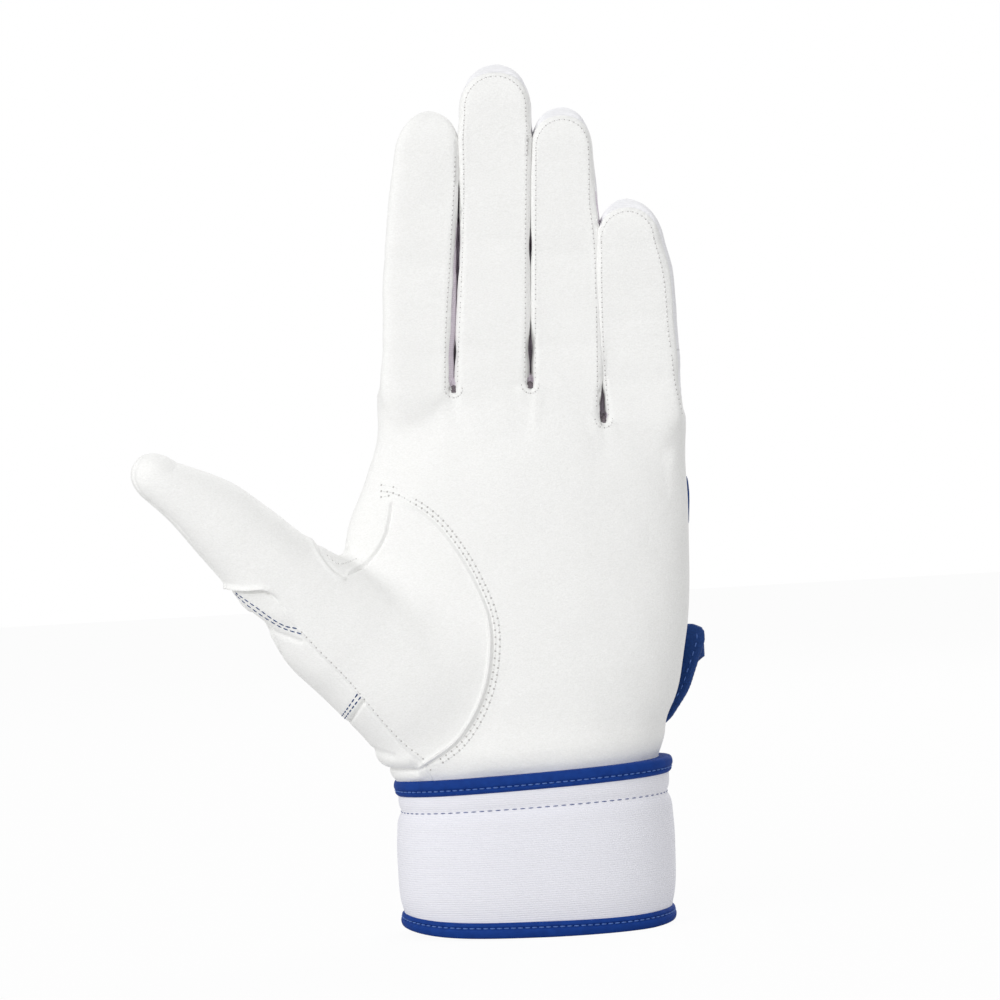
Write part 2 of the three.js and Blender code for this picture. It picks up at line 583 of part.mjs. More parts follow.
// The back of the wrist as seen from above, halfway up the strap, pushed outwards by an offset.
const strapZ = CUFF_HEIGHT + STRAP_RISE + STRAP_WIDTH / 2;
function backCurve(fromX, toX, steps, offsetAt) {
  const s = [STRAP_RISE, STRAP_RISE + STRAP_WIDTH / 2, STRAP_RISE + STRAP_WIDTH]
    .map((rise) => handSection(CUFF_HEIGHT + rise));
  const widest = Math.max(...s.map((v) => v.halfWidth));
  const deepest = Math.max(...s.map((v) => v.back));
  const centre = s[1].x;
  const points = [];
  for (let i = 0; i <= steps; i++) {
    const x = lerp(fromX, toX, i / steps);
    const u = Math.min(Math.abs(x - centre) / widest, 1);
    const y = deepest * (1 - u ** HAND_SQUARENESS) ** (1 / HAND_SQUARENESS);
    points.push(new THREE.Vector2(x, y));
  }
  return points.map((p, i) => {
    const ahead = points[Math.min(i + 1, steps)];
    const behind = points[Math.max(i - 1, 0)];
    const along = new THREE.Vector2().subVectors(ahead, behind).normalize();
    return p.clone().add(new THREE.Vector2(-along.y, along.x).multiplyScalar(offsetAt(i / steps)));
  });
}
// Band of even thickness along a plan curve, extruded up from z by a height.
function band(curve, thickness, z, height) {
  const outer = curve.map((p, i) => {
    const ahead = curve[Math.min(i + 1, curve.length - 1)];
    const behind = curve[Math.max(i - 1, 0)];
    const along = new THREE.Vector2().subVectors(ahead, behind).normalize();
    return p.clone().add(new THREE.Vector2(-along.y, along.x).multiplyScalar(thickness));
  });
  const shape = new THREE.Shape([...curve, ...outer.reverse()]);
  return solid(new THREE.ExtrudeGeometry(shape, { depth: height, bevelEnabled: false }).translate(0, 0, z));
}
const padOffset = SEAM_GAP;
const hookOffset = padOffset + PAD_THICKNESS + SEAM_GAP;
const strapOffset = hookOffset + PAD_THICKNESS + SEAM_GAP;
const strapEndX = handSection(strapZ).x + handSection(strapZ).halfWidth - STRAP_THICKNESS;
const strapLift = (t) => lerp(SEAM_GAP * 2, strapOffset, Math.min(3 * t, 1));
const strapCurve = backCurve(STRAP_ROOT_X, strapEndX, STRAP_STEPS, strapLift);
const strapEnd = strapCurve[strapCurve.length - 1];
const strapRun = new THREE.Vector2().subVectors(strapEnd, strapCurve[strapCurve.length - 2]).normalize();
strapCurve.push(strapEnd.clone().addScaledVector(strapRun, STRAP_OVERHANG + STRAP_END_SLANT));
const strapBottom = CUFF_HEIGHT + STRAP_RISE;
const strapTop = strapBottom + STRAP_WIDTH;
const strapMiddle = strapBottom + STRAP_WIDTH / 2;

// The free end is cut on a slant, with round corners.
const tip = strapCurve[strapCurve.length - 1].x;
const strapShape = new THREE.Shape();
strapShape.moveTo(STRAP_ROOT_X - STRAP_THICKNESS, strapBottom);
strapShape.lineTo(tip - STRAP_END_SLANT - STRAP_END_RADIUS, strapBottom);
strapShape.quadraticCurveTo(tip - STRAP_END_SLANT, strapBottom, tip - STRAP_END_SLANT / 2, strapMiddle);
strapShape.quadraticCurveTo(tip, strapTop, tip - STRAP_END_RADIUS, strapTop);
strapShape.lineTo(STRAP_ROOT_X - STRAP_THICKNESS, strapTop);
const strapOutline = strapShape.getPoints(4).map((p) => [p.x, p.y]);
addPiece("strap", band(strapCurve, STRAP_THICKNESS, strapBottom, STRAP_WIDTH)
  .intersect(prismXZ(strapOutline, -FAR, FAR)), BLUE);

const padHeight = STRAP_WIDTH - 2 * PAD_MARGIN;
const padCurve = (offset) => backCurve(PAD_START_X, PAD_START_X + PAD_LENGTH, STRAP_STEPS, () => offset);
addPiece("loop_patch", band(padCurve(padOffset), PAD_THICKNESS, strapBottom + PAD_MARGIN, padHeight), PAD);
addPiece("hook_patch", band(padCurve(hookOffset), PAD_THICKNESS, strapBottom + PAD_MARGIN, padHeight), PAD);

// The pull tab is a folded loop sewn to the outside of the strap's free end.
const outward = new THREE.Vector2(-strapRun.y, strapRun.x);
const tabStart = strapCurve[strapCurve.length - 1].clone()
  .addScaledVector(strapRun, -PULL_TAB_LENGTH - STRAP_END_RADIUS)
  .addScaledVector(outward, STRAP_THICKNESS + SEAM_GAP);
function loopOutline(path, radius) {
  path.absarc(PULL_TAB_LENGTH, PULL_TAB_RADIUS, radius, -Math.PI / 2, Math.PI / 2);
  path.absarc(0, PULL_TAB_RADIUS, radius, Math.PI / 2, (3 * Math.PI) / 2);
  path.closePath();
  return path;
}
const tabShape = loopOutline(new THREE.Shape(), PULL_TAB_RADIUS);
tabShape.holes.push(loopOutline(new THREE.Path(), PULL_TAB_RADIUS - PULL_TAB_WALL));
const tabAlong = new THREE.Vector3(strapRun.x, strapRun.y, 0);
const tabOut = new THREE.Vector3(outward.x, outward.y, 0);
const tabFrame = new THREE.Matrix4()
  .makeBasis(tabAlong, tabOut, new THREE.Vector3(0, 0, 1))
  .setPosition(tabStart.x, tabStart.y, strapTop - PULL_TAB_WIDTH - PAD_MARGIN / 2);
const tabExtrusion = { depth: PULL_TAB_WIDTH, bevelEnabled: false, curveSegments: 6 };
const tabGeometry = new THREE.ExtrudeGeometry(tabShape, tabExtrusion);
addPiece("pull_tab", solid(tabGeometry.applyMatrix4(tabFrame)), BLUE);

// Stand the glove with the middle of its footprint on the origin.
const box = new THREE.Box3().setFromObject(glove);
glove.position.set(-(box.min.x + box.max.x) / 2, -(box.min.y + box.max.y) / 2, -box.min.z);

export default glove;
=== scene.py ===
"""Looks of a left-hand batting glove: leather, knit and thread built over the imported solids."""

import math

import bpy
import numpy as np
from mathutils import Matrix, Vector
from mathutils.bvhtree import BVHTree


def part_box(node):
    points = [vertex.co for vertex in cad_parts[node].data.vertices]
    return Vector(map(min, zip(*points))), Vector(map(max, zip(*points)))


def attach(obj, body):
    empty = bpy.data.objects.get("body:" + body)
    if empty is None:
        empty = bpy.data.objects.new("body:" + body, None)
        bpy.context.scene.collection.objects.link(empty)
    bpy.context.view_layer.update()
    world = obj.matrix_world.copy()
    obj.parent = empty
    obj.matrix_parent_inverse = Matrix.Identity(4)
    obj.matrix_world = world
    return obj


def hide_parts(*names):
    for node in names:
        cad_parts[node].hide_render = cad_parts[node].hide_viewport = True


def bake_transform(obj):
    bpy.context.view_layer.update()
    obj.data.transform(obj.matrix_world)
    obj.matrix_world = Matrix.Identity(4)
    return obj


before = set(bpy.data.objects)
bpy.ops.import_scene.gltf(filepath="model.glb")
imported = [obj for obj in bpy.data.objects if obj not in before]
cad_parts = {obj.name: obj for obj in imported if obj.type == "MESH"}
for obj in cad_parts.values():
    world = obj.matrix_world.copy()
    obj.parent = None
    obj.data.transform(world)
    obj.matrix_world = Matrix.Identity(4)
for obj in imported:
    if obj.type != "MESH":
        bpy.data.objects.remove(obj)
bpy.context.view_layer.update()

# The form is worked out in millimetres in the glove's own frame: x across the palm towards the little finger,
# y from the palm to the back, z up from the hem of the cuff. SHIFT takes it to the frame of the solids.
MM = 0.001
CUFF_X = 1.0
CUFF_HEIGHT = 42.0
CUFF_HALF_WIDTH = 34.6
CUFF_HALF_DEPTH = 22.1
CUFF_TILT = math.tan(math.radians(2.0))
HEM_TILT = -0.018
SQUARENESS = 2.4
hem_low, hem_high = (np.array(corner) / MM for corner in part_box("cuff_bottom_binding"))
SHIFT = np.array([(hem_low[0] + hem_high[0]) / 2 - CUFF_X, (hem_low[1] + hem_high[1]) / 2, 0.0])


def to_frame(points):
    """Points of the glove's frame, in millimetres, as points of the solids' frame, in metres."""
    return (np.asarray(points, float) + SHIFT) * MM


# Small mathematics

def lerp(a, b, t):
    return a + (b - a) * t


def smooth(low, high, value):
    t = np.clip((value - low) / (high - low), 0, 1)
    return t * t * (3 - 2 * t)


def bump(distance, width):
    return np.exp(-((distance / width) ** 2))


def curve(xs, ys):
    """A smooth function through the given points."""
    xs, ys = np.array(xs, float), np.array(ys, float)
    slopes = np.gradient(ys, xs)

    def at(x):
        x = np.clip(x, xs[0], xs[-1])
        i = np.clip(np.searchsorted(xs, x) - 1, 0, len(xs) - 2)
        h = xs[i + 1] - xs[i]
        t = (x - xs[i]) / h
        rise = ys[i] * (1 + 2 * t) * (1 - t) ** 2 + ys[i + 1] * t * t * (3 - 2 * t)
        return rise + h * (slopes[i] * t * (1 - t) ** 2 - slopes[i + 1] * t * t * (1 - t))

    return at


ROUND_BOTTOM = 0.03


def power(v, n):
    """The n-th power of a size, with a round bottom."""
    return (v * v + ROUND_BOTTOM) ** (n / 2) - ROUND_BOTTOM ** (n / 2)


def blend_min(a, b, width):
    """The lower of two fields, with a fillet of about that width where they meet."""
    h = np.maximum(width - np.abs(a - b), 0) / width
    return np.minimum(a, b) - h * h * width / 4


def lengths(line):
    """Distance of each point of a line from its start, along the line."""
    return np.concatenate([[0], np.cumsum(np.linalg.norm(np.diff(line, axis=0), axis=1))])


def rows_of(*columns):
    """Points or triangles from their columns."""
    return np.stack(columns, axis=-1)


def even(line, steps):
    """The same line in steps of equal length."""
    length = lengths(line)
    at = np.linspace(0, length[-1], steps + 1)
    return rows_of(*(np.interp(at, length, column) for column in line.T))


def spline(points, steps):
    """Evenly stepped points on a smooth line through the given ones."""
    points = np.array(points, float)
    length = lengths(points)
    fine = np.linspace(0, length[-1], steps * 8 + 1)
    return even(rows_of(*(curve(length, column)(fine) for column in points.T)), steps)


def squared(v, n):
    """A cosine or sine pushed out towards a square."""
    return np.sign(v) * np.abs(v) ** (2 / n)


def around(a, b, sides):
    """Evenly turned directions in the plane of two others."""
    turns = np.linspace(0, 2 * math.pi, sides, endpoint=False)
    return np.cos(turns)[:, None] * a[..., None, :] + np.sin(turns)[:, None] * b[..., None, :]


def line_distance(line, a, b):
    """Distance of points (a, b) from a flat line, signed: positive on its left."""
    best = np.full(a.shape, 1e9)
    signed = np.full(a.shape, 1e9)
    for (ax, ay), (bx, by) in zip(line[:-1], line[1:]):
        dx, dy = bx - ax, by - ay
        t = np.clip(((a - ax) * dx + (b - ay) * dy) / (dx * dx + dy * dy), 0, 1)
        ex, ey = a - ax - t * dx, b - ay - t * dy
        d = np.hypot(ex, ey)
        near = d < best
        side = np.where(dx * ey - dy * ex >= 0, 1.0, -1.0)
        signed = np.where(near, side * d, signed)
        best = np.where(near, d, best)
    return signed


# The form of the hand

# Height above the cuff, left edge, right edge, depth in front and depth behind
HAND = [
    (-6, -34.2, 35.4, 20, 18.5), (4, -34.8, 35.7, 21.2, 18), (10, -35.6, 37.3, 21.2, 17.8),
    (16, -36.5, 40.2, 20.6, 17.5), (33, -38.4, 44.4, 19.5, 17), (62, -44.3, 46.6, 16, 15.5),
    (78, -38, 46.5, 14, 13.5), (91, -33.4, 45, 10.9, 11), (104, -31.4, 43, 8.0, 8),
]
hand_rise, *hand_sizes = np.array(HAND).T
hand_left, hand_right, hand_front, hand_back = (curve(hand_rise + CUFF_HEIGHT, size) for size in hand_sizes)
KNUCKLE_Z = CUFF_HEIGHT + 99.5
LITTLE_DROP = 10.0
SLIT = 0.8
WEB_HEIGHT = 1.5
WEB_RISE = 4.2
WEB_HALF_WIDTH = 2.4
STALL_ROOT = 18.0
BASE_JOINT = 8.0
BEND = 6.8
FINGER_Y = -0.5
FINGER_CURL = 5.0
FINGER_SQUARENESS = 2.3
FINGER_FLATNESS = 7.0
MIDDLE_LEAN = math.radians(4.0)


def steady(value):
    """A function that is the same all along a stall."""
    return curve([-30, 100], [value, value])


def sided(x, pair):
    """The first of a pair on the left, where x is negative, and the second on the right."""
    return np.where(x < 0, *pair)


class Finger:
    """A stall along a line of its own. Its pairs hold values for its left and its right side."""

    def __init__(self, name, width, tip_width, depth, tip_depth, dome, length, joint):
        self.name, self.width, self.tip_width = name, width, tip_width
        self.depth, self.tip_depth, self.dome, self.length = depth, tip_depth, dome, length
        self.joints = {"lower": BASE_JOINT, "upper": joint}
        self.split = (BASE_JOINT + joint) / 2
        self.straight = length - dome
        self.taper = math.atan((width - tip_width) / 2 / (0.86 * length))
        self.z = KNUCKLE_Z
        self.sink = 0.0
        # One on a side with a neighbour, and how far up the stall that neighbour reaches
        self.faces = (1, 1)
        self.free = [200, 200]
        # Where along the stall its slit closes up to the front, and the depth of the slit where it gapes
        self.closing = [(8, 20), (8, 20)]
        self.floor = [-2.5, -2.5]
        # How far the side swells, and how far inside its edge the seam lies, along the stall
        self.swell = [steady(0.25), steady(0.25)]
        self.inset = [steady(0.2), steady(0.2)]

    def stand(self, x, lean):
        self.x, self.lean = x, lean
        self.across = np.array([math.cos(lean), 0, -math.sin(lean)])
        self.along = np.array([math.sin(lean), 0, math.cos(lean)])
        self.origin = np.array([x, FINGER_Y, self.z])

    def local(self, p):
        q = p - self.origin
        s = q @ self.along
        return q @ self.across, q[:, 1] - self.bow(s), s

    def bow(self, s):
        return -FINGER_CURL * np.maximum(s / self.length, 0) ** 2

    def halves(self, s):
        """Half width and half depth before any swelling; the root narrows inside the hand."""
        t = np.clip(s / self.straight, 0, 1)
        sunk = 1 - 0.35 * smooth(self.sink, self.sink - STALL_ROOT, s)
        return sunk * lerp(self.width, self.tip_width, t) / 2, sunk * lerp(self.depth, self.tip_depth, t) / 2

    def half_width(self, x, s, y=0.0):
        """Half width on the side where x lies: the stalls swell until they touch, behind or in the slits."""
        half, _ = self.halves(s)
        floor = sided(x, self.floor)
        behind, pressed = smooth(floor, floor + 2.0, y), smooth(-8.9, -7.6, y)
        touch = self.facing(x, s) * lerp(behind, pressed, self.closed(x, s))
        return half + sided(x, [swell(s) for swell in self.swell]) + 0.5 * touch

    def inset_at(self, x, s):
        """How far inside the edge on the side of x the seam of the front leather lies."""
        return sided(x, [inset(s) for inset in self.inset])

    def closed(self, x, s):
        """One where the slit on the side of x is pressed shut up to the front, zero where it gapes."""
        return sided(x, [smooth(*ends, s) for ends in self.closing])

    def facing(self, x, s):
        """One where the side of x lies against a neighbour."""
        free = sided(x, self.free)
        return sided(x, self.faces) * smooth(free + 6, free - 2, s)

    def squareness(self, x, y, s):
        """The fronts of the stalls are flatter than their backs, and squarest where two press together."""
        pressed = self.facing(x, s) * smooth(self.straight + 2, self.straight - 10, s)
        front = FINGER_FLATNESS + pressed * lerp(2, 7, self.closed(x, s))
        return np.where(y < 0, lerp(2.8, front, smooth(self.sink - 10, self.sink + 10, s)), FINGER_SQUARENESS)

    def field(self, p):
        x, y, s = self.local(p)
        _, half_depth = self.halves(s)
        half_width = self.half_width(x, s, y)
        past = np.maximum(s - self.straight, 0)
        n = self.squareness(x, y, s)
        section = (power(x / half_width, n) + power(y / half_depth, n)) ** (1 / n)
        u = np.hypot(section, past / self.dome) + 1e-6
        return np.maximum(np.sqrt(x * x + y * y + past * past) * (1 - 1 / u), self.sink - STALL_ROOT - s)

    def at(self, x, y, s):
        """Points of the glove's frame from the finger's own."""
        x, y, s = np.broadcast_arrays(np.asarray(x, float), np.asarray(y, float), np.asarray(s, float))
        rows = self.origin + x[..., None] * self.across + s[..., None] * self.along
        rows[..., 1] += y + self.bow(s)
        return rows

    def seen(self, x, s):
        """Spots (x, z) of the glove's frame, as seen from the front, from the finger's own."""
        return self.at(x, 0, s)[:, [0, 2]]

    def bend(self, zone):
        """The two bodies and the two points between which the lower or the upper section bends."""
        below = "hand" if zone == "lower" else f"{self.name}_lower"
        ends = [tuple(to_frame(self.at(0, 0, self.joints[zone] + way * BEND))) for way in (-1, 1)]
        return below, f"{self.name}_{zone}", *ends


INDEX = Finger("index", 18.7, 16.0, 18.0, 15.5, 11.5, 73.5, 33.0)
MIDDLE = Finger("middle", 19.2, 17.4, 18.4, 16.5, 12.0, 84.5, 38.0)
RING = Finger("ring", 18.0, 15.8, 17.6, 15.2, 11.0, 72.2, 34.0)
LITTLE = Finger("little", 19.0, 14.4, 16.8, 14.0, 11.0, 57.5, 26.0)
FINGERS = [INDEX, MIDDLE, RING, LITTLE]
LITTLE.z = KNUCKLE_Z - LITTLE_DROP
INDEX.faces, LITTLE.faces = (0, 1), (1, 0)
RING.sink = -9.0
INDEX.closing[1] = MIDDLE.closing[0] = (40, 54)
RING.closing[1], LITTLE.closing[0] = (-6, 4), (4, 14)
INDEX.floor[1] = MIDDLE.floor[0] = -7.6
MIDDLE.floor[1] = RING.floor[0] = -6.4
MIDDLE.free = [66, 66]
RING.free[1] = 42
INDEX.swell[0] = curve([-30, 0, 10, 18, 26, 41, 60, 70, 100], [0, 0.4, 0.5, 0.8, 1.5, 1.6, 0.9, 0, 0])
MIDDLE.swell = [
    curve([-30, 0, 10, 20, 55, 68, 100], [0.4, 0.5, 0.5, 0.3, 0.3, 0.9, 0.9]),
    curve([-30, 0, 12, 55, 68, 100], [0.4, 0.4, 0.3, 0.3, 0.6, 0.6]),
]
RING.swell[1] = curve([-30, -8, 2, 30, 40, 50, 58, 100], [0.35, 0.35, 0.75, 0.75, 1.0, 1.0, 0.3, 0.0])
LITTLE.swell = [
    curve([-30, 3, 12, 46, 58, 100], [0.25, 0.25, 0.8, 0.8, 0.25, 0.25]),
    curve([-30, -16, 0, 8, 15, 22, 30, 38, 46, 100], [0, 0.6, 1.9, 2.2, 2.8, 3.1, 3.7, 3.7, 2.6, 2.4]),
]
INDEX.inset[1] = curve([-30, 2, 8, 16, 24, 34, 42, 50, 100], [0.7, 1.0, 1.2, 1.2, 1.0, 0.6, 0.4, 0.1, 0.1])
MIDDLE.inset = [steady(0.05), curve([-30, 2, 8, 14, 20, 30, 100], [0.2, 0.3, 0.3, 0.2, 0.1, 0.05, 0.05])]
RING.inset = [
    steady(0.05),
    curve([-30, 2, 10, 20, 34, 42, 50, 56, 100], [0.3, 0.6, 0.5, 0.25, 0.3, 0.9, 0.9, 0.2, 0.2]),
]
LITTLE.inset = [steady(0.05), curve([-30, 2, 8, 20, 40, 100], [-0.6, -0.6, 0.3, 1.2, 1.4, 1.0])]
MIDDLE.stand(-3.3, MIDDLE_LEAN)
INDEX.stand(MIDDLE.x - (MIDDLE.width + INDEX.width) / 2 - SLIT, MIDDLE.lean + MIDDLE.taper + INDEX.taper)
RING.stand(MIDDLE.x + (MIDDLE.width + RING.width) / 2 + SLIT, MIDDLE.lean - MIDDLE.taper - RING.taper)
LITTLE.stand(
    RING.x + (RING.width + LITTLE.width) / 2 + SLIT - LITTLE_DROP * math.tan(RING.lean - RING.taper),
    RING.lean - RING.taper - LITTLE.taper,
)
slits = [
    (INDEX.x + INDEX.width / 2 + SLIT / 2, KNUCKLE_Z), (MIDDLE.x + MIDDLE.width / 2 + SLIT / 2, KNUCKLE_Z),
    (LITTLE.x - LITTLE.width / 2 - SLIT / 2, KNUCKLE_Z - LITTLE_DROP),
]


def crotch(x):
    """Height of the crotches between the fingers, where the palm passes into the finger stalls."""
    return KNUCKLE_Z - LITTLE_DROP * smooth(RING.x - 2, (RING.x + LITTLE.x) / 2, x)


def stall_start(p):
    """Height over the line where the finger stalls start: it rises over the web of every slit."""
    web = sum(bump(p[:, 0] - x, WEB_HALF_WIDTH) for x, z in slits)
    return p[:, 2] - crotch(p[:, 0]) + WEB_HEIGHT - WEB_RISE * web


THUMB_ROOT = np.array([-22.0, -4.5, CUFF_HEIGHT + 20])
THUMB_FOOT = -24
THUMB_LENGTH = 99.7
THUMB_DOME = 9.0
THUMB_JOINT = 50.0
THUMB_BEND = 7.5
thumb_angle, thumb_forward = math.radians(42), math.radians(8)
THUMB_ALONG = np.array([
    -math.cos(thumb_angle) * math.cos(thumb_forward), -math.sin(thumb_forward),
    math.sin(thumb_angle) * math.cos(thumb_forward),
])
THUMB_ACROSS = np.array([math.sin(thumb_angle), 0, math.cos(thumb_angle)])
THUMB_BACK = np.cross(THUMB_ALONG, THUMB_ACROSS)
thumb_lower = curve([THUMB_FOOT, 0, 15, 26, 37, 45, 56, 66, 76, 87, 91],
                    [10.5, 20.6, 19.6, 18.5, 16.9, 14.1, 12.3, 10.5, 8.7, 7.0, 6.6])
thumb_upper = curve([THUMB_FOOT, 0, 15, 27, 43, 50, 57, 64, 77, 86, 91],
                    [11.7, 23, 20, 17, 13, 11.8, 11.4, 11.4, 10.5, 7.9, 5.9])
thumb_half_depth = curve([THUMB_FOOT, 0, 27, 42, 57, 73, 87, 92],
                         [8.2, 16.5, 14.3, 12.7, 11.4, 10.0, 8.8, 8.2])
thumb_ends = [tuple(to_frame(THUMB_ROOT + THUMB_ALONG * (THUMB_JOINT + way * THUMB_BEND))) for way in (-1, 1)]
thumb_bend = ("hand", "thumb", *thumb_ends)


def thumb_local(p):
    q = p - THUMB_ROOT
    return q @ THUMB_ACROSS, q @ THUMB_BACK, q @ THUMB_ALONG


def thumb_field(p):
    x, y, s = thumb_local(p)
    straight = THUMB_LENGTH - THUMB_DOME
    past = np.maximum(s - straight, 0)
    before = np.maximum(THUMB_FOOT - s, 0)
    n = FINGER_SQUARENESS
    x = x + 0.5 * smooth(82, 100, s)
    half_width = np.where(x < 0, thumb_lower(s), thumb_upper(s))
    u = (power(x / half_width, n) + power(y / thumb_half_depth(s), n)
         + power(past / THUMB_DOME, n)) ** (1 / n) + 1e-6
    return np.sqrt(x * x + y * y + past * past) * (1 - 1 / u) + before


def hand_field(p):
    x, y, z = p.T
    left, right = hand_left(z), hand_right(z)
    middle, half = (left + right) / 2, (right - left) / 2
    level = z + LITTLE_DROP * smooth(RING.x - 20, LITTLE.x + 8, x)
    depth = np.where(y < 0, hand_front(level), hand_back(level))
    u = (power((x - middle) / half, SQUARENESS) + power(y / depth, SQUARENESS)) ** (1 / SQUARENESS) + 1e-6
    return np.maximum(np.hypot(x - middle, y) * (1 - 1 / u), z - crotch(x) + WEB_HEIGHT)


def palm_form(p):
    return blend_min(hand_field(p), thumb_field(p), 6.0)


def with_finger(base, finger, p):
    """A finger joined to the hand: a wide fillet at its sides and a narrow one over its front and back."""
    x, y, s = finger.local(p)
    aside = np.abs(x) / finger.half_width(x, s)
    wide = lerp(smooth(0.5, 1.0, aside), smooth(0.1, 0.7, aside), smooth(0, 5, y))
    return blend_min(base, finger.field(p), lerp(1.5, 5.0, wide))


def finger_form(finger, p):
    return with_finger(palm_form(p), finger, p)


def whole_form(p):
    """The hand with all its fingers: each finger's fillet ends at the slits beside it."""
    base = palm_form(p)
    best = with_finger(base, INDEX, p)
    for (x0, z0), finger in zip(slits, FINGERS[1:]):
        best = lerp(best, with_finger(base, finger, p), smooth(x0 - 1.6, x0 + 1.6, p[:, 0]))
    return best


def gradient(field, p, step=0.05):
    rows = []
    for k in range(3):
        d = np.zeros(3)
        d[k] = step
        rows.append((field(p + d) - field(p - d)) / (2 * step))
    return rows_of(*rows)


def unit(v):
    return v / np.maximum(np.linalg.norm(v, axis=-1, keepdims=True), 1e-9)


def settle(field, p, rounds=4):
    """Moves points on to a field's surface, straight up or down its slope."""
    for _ in range(rounds):
        g = gradient(field, p)
        p = p - g * (field(p) / np.maximum((g * g).sum(axis=1), 0.05))[:, None]
    return p


# Seams, in the plane of the palm: (x, height above the cuff)

def palm_line(points, steps):
    return spline([(x, CUFF_HEIGHT + rise) for x, rise in points], steps)


THUMB_SEAM = palm_line([
    (-31.5, 0.1), (-24.8, 4.1), (-17.2, 9.1), (-10.9, 18), (-7.4, 29.4), (-7.1, 39.7), (-10.4, 49.7),
    (-15.1, 58.7), (-21.1, 66.5), (-28.1, 71.2), (-31, 72),
], 60)
INDEX_EDGE = palm_line([
    (-31, 72), (-31.8, 67.6), (-32.7, 64.3), (-35.9, 58.8), (-40.2, 55.1), (-42.4, 53.7),
], 24)
GUSSET_HEM = palm_line([
    (-42.4, 53.7), (-43.6, 52.9), (-45.3, 53.5), (-47.8, 56), (-51.6, 62.5), (-56, 72),
], 24)
SIDE_SEAM = palm_line([
    (-23.5, -4), (-24.6, 0.5), (-25.5, 3.1), (-31.1, 8.6), (-45.6, 27.3), (-54.3, 37.3), (-57.5, 41.4),
    (-59.8, 46.2), (-61.7, 48.9), (-64, 50.5), (-68.6, 50.8), (-74, 51.6), (-92, 53),
], 64)
SEAMS = (THUMB_SEAM, INDEX_EDGE, GUSSET_HEM, SIDE_SEAM)
THUMB_PANEL = np.concatenate([THUMB_SEAM, INDEX_EDGE[1:], GUSSET_HEM[1:], [(-70, 160)]])
# The line that parts the thumb from the hand, from its crotch to its lower edge, as (x, z)
THUMB_SPLIT = np.array([(-43.5, 99.5), (-58.7, 72.1)])
CROTCH_FACING = (0.866, 0.5)
RIGHT_WRAP = 3.5
TIP_SEAM = 2.3
ARC_ROWS = (0.9, 2.0)

# Folds and creases of the leather: start, end, width, height in millimetres, in the same plane
FOLDS = [
    ((-68.5, 44.1), (-64, 40.2), 0.8, -1.0), ((-64, 40.2), (-55.9, 36.9), 0.7, -0.5),
    ((-70, 47.5), (-61, 43.5), 2.2, 0.5), ((-64, 35), (-52, 28), 4.0, 0.4),
    ((-40.6, 20.6), (-45, 15.2), 0.5, -0.7), ((-36, 2.6), (-28.1, 2.1), 0.6, -0.8),
    ((-38, 5.2), (-30, 5), 1.8, 0.6), ((-39, 7.7), (-33.6, 6.4), 0.7, -0.45), ((-36, 0), (-28, 0), 1.5, 0.5),
    ((-40, 57), (-30, 47), 4.0, -0.3), ((-33, 60), (-22, 42), 6.0, -0.3), ((-24, 84), (-15, 97), 4.0, -0.35),
    ((24, 80), (26, 88), 4.0, -0.35), ((4, 88), (6, 98), 3.5, -0.3), ((-12, 90), (-14, 98), 2.5, -0.3),
]


def seam_step(signed, raised, sunk, round_width):
    """A lapped seam: a rolled lip on its left, a crease beside it and a slight step between the panels."""
    lip = raised * bump(signed - 0.55, 0.55) + 0.3 * raised * smooth(-0.3, 0.5, signed)
    return lip * np.exp(-np.maximum(signed - 0.55, 0) / round_width) - sunk * bump(signed + 0.35, 0.4)


# Turn, rate and phase of the waves in the leather
WAVES = [(k * 2.4, 0.11 + 0.055 * k, 1.7 * k * k) for k in range(9)]


def unevenness(p):
    """Soft irregular swell of leather over a hand, about -1 to 1."""
    x, y, z = p.T
    total = 0
    for turn, rate, phase in WAVES:
        bend = 1.4 * np.sin(0.05 * z + phase) + 1.1 * np.sin(0.06 * x - 2 * phase)
        total = total + np.sin(rate * (x * math.cos(turn) + z * math.sin(turn) + 0.6 * y) + phase + bend)
    return total / 4


def palm_relief(p):
    """Height of the hand's seams, folds and rim over the smooth form, in millimetres."""
    x, y, z = p.T
    front = smooth(4, -1, y)
    rise = z - CUFF_HEIGHT
    arc = line_distance(THUMB_SEAM, x, z)
    lip = lerp(0.5, 0.22, smooth(30, 52, rise)) * smooth(-31, -27, x) * smooth(-27.5, -25, x + 0.1 * rise)
    height = front * seam_step(arc, lip, 0.9 * lip, 1.6)
    edge = line_distance(INDEX_EDGE, x, z)
    ends = smooth(72.5, 70.5, rise) * smooth(53, 55, rise)
    height += front * ends * smooth(7, 3, np.abs(edge)) * seam_step(-edge, 0.22, 0.6, 2.0)
    hem = line_distance(GUSSET_HEM, x, z)
    height += front * smooth(-42.8, -44.5, x) * smooth(5, 2, np.abs(hem)) * seam_step(hem, 0.35, 0.3, 2.0)
    side = line_distance(SIDE_SEAM, x, z)
    lap = lerp(0.1, 0.9, smooth(-60, -65, x))
    height += seam_step(-side, lap, lap + 0.08, 1.8)
    for (ax, ar), (bx, br), width, tall in FOLDS:
        line = np.array([(ax, CUFF_HEIGHT + ar), (bx, CUFF_HEIGHT + br)])
        height += front * tall * bump(line_distance(line, x, z), width)
    rim = rise - CUFF_TILT * x
    height += 0.8 * bump(rim - 5.5, 4.0) - 0.25 * bump(np.maximum(rim, 0), 1.4)
    return height


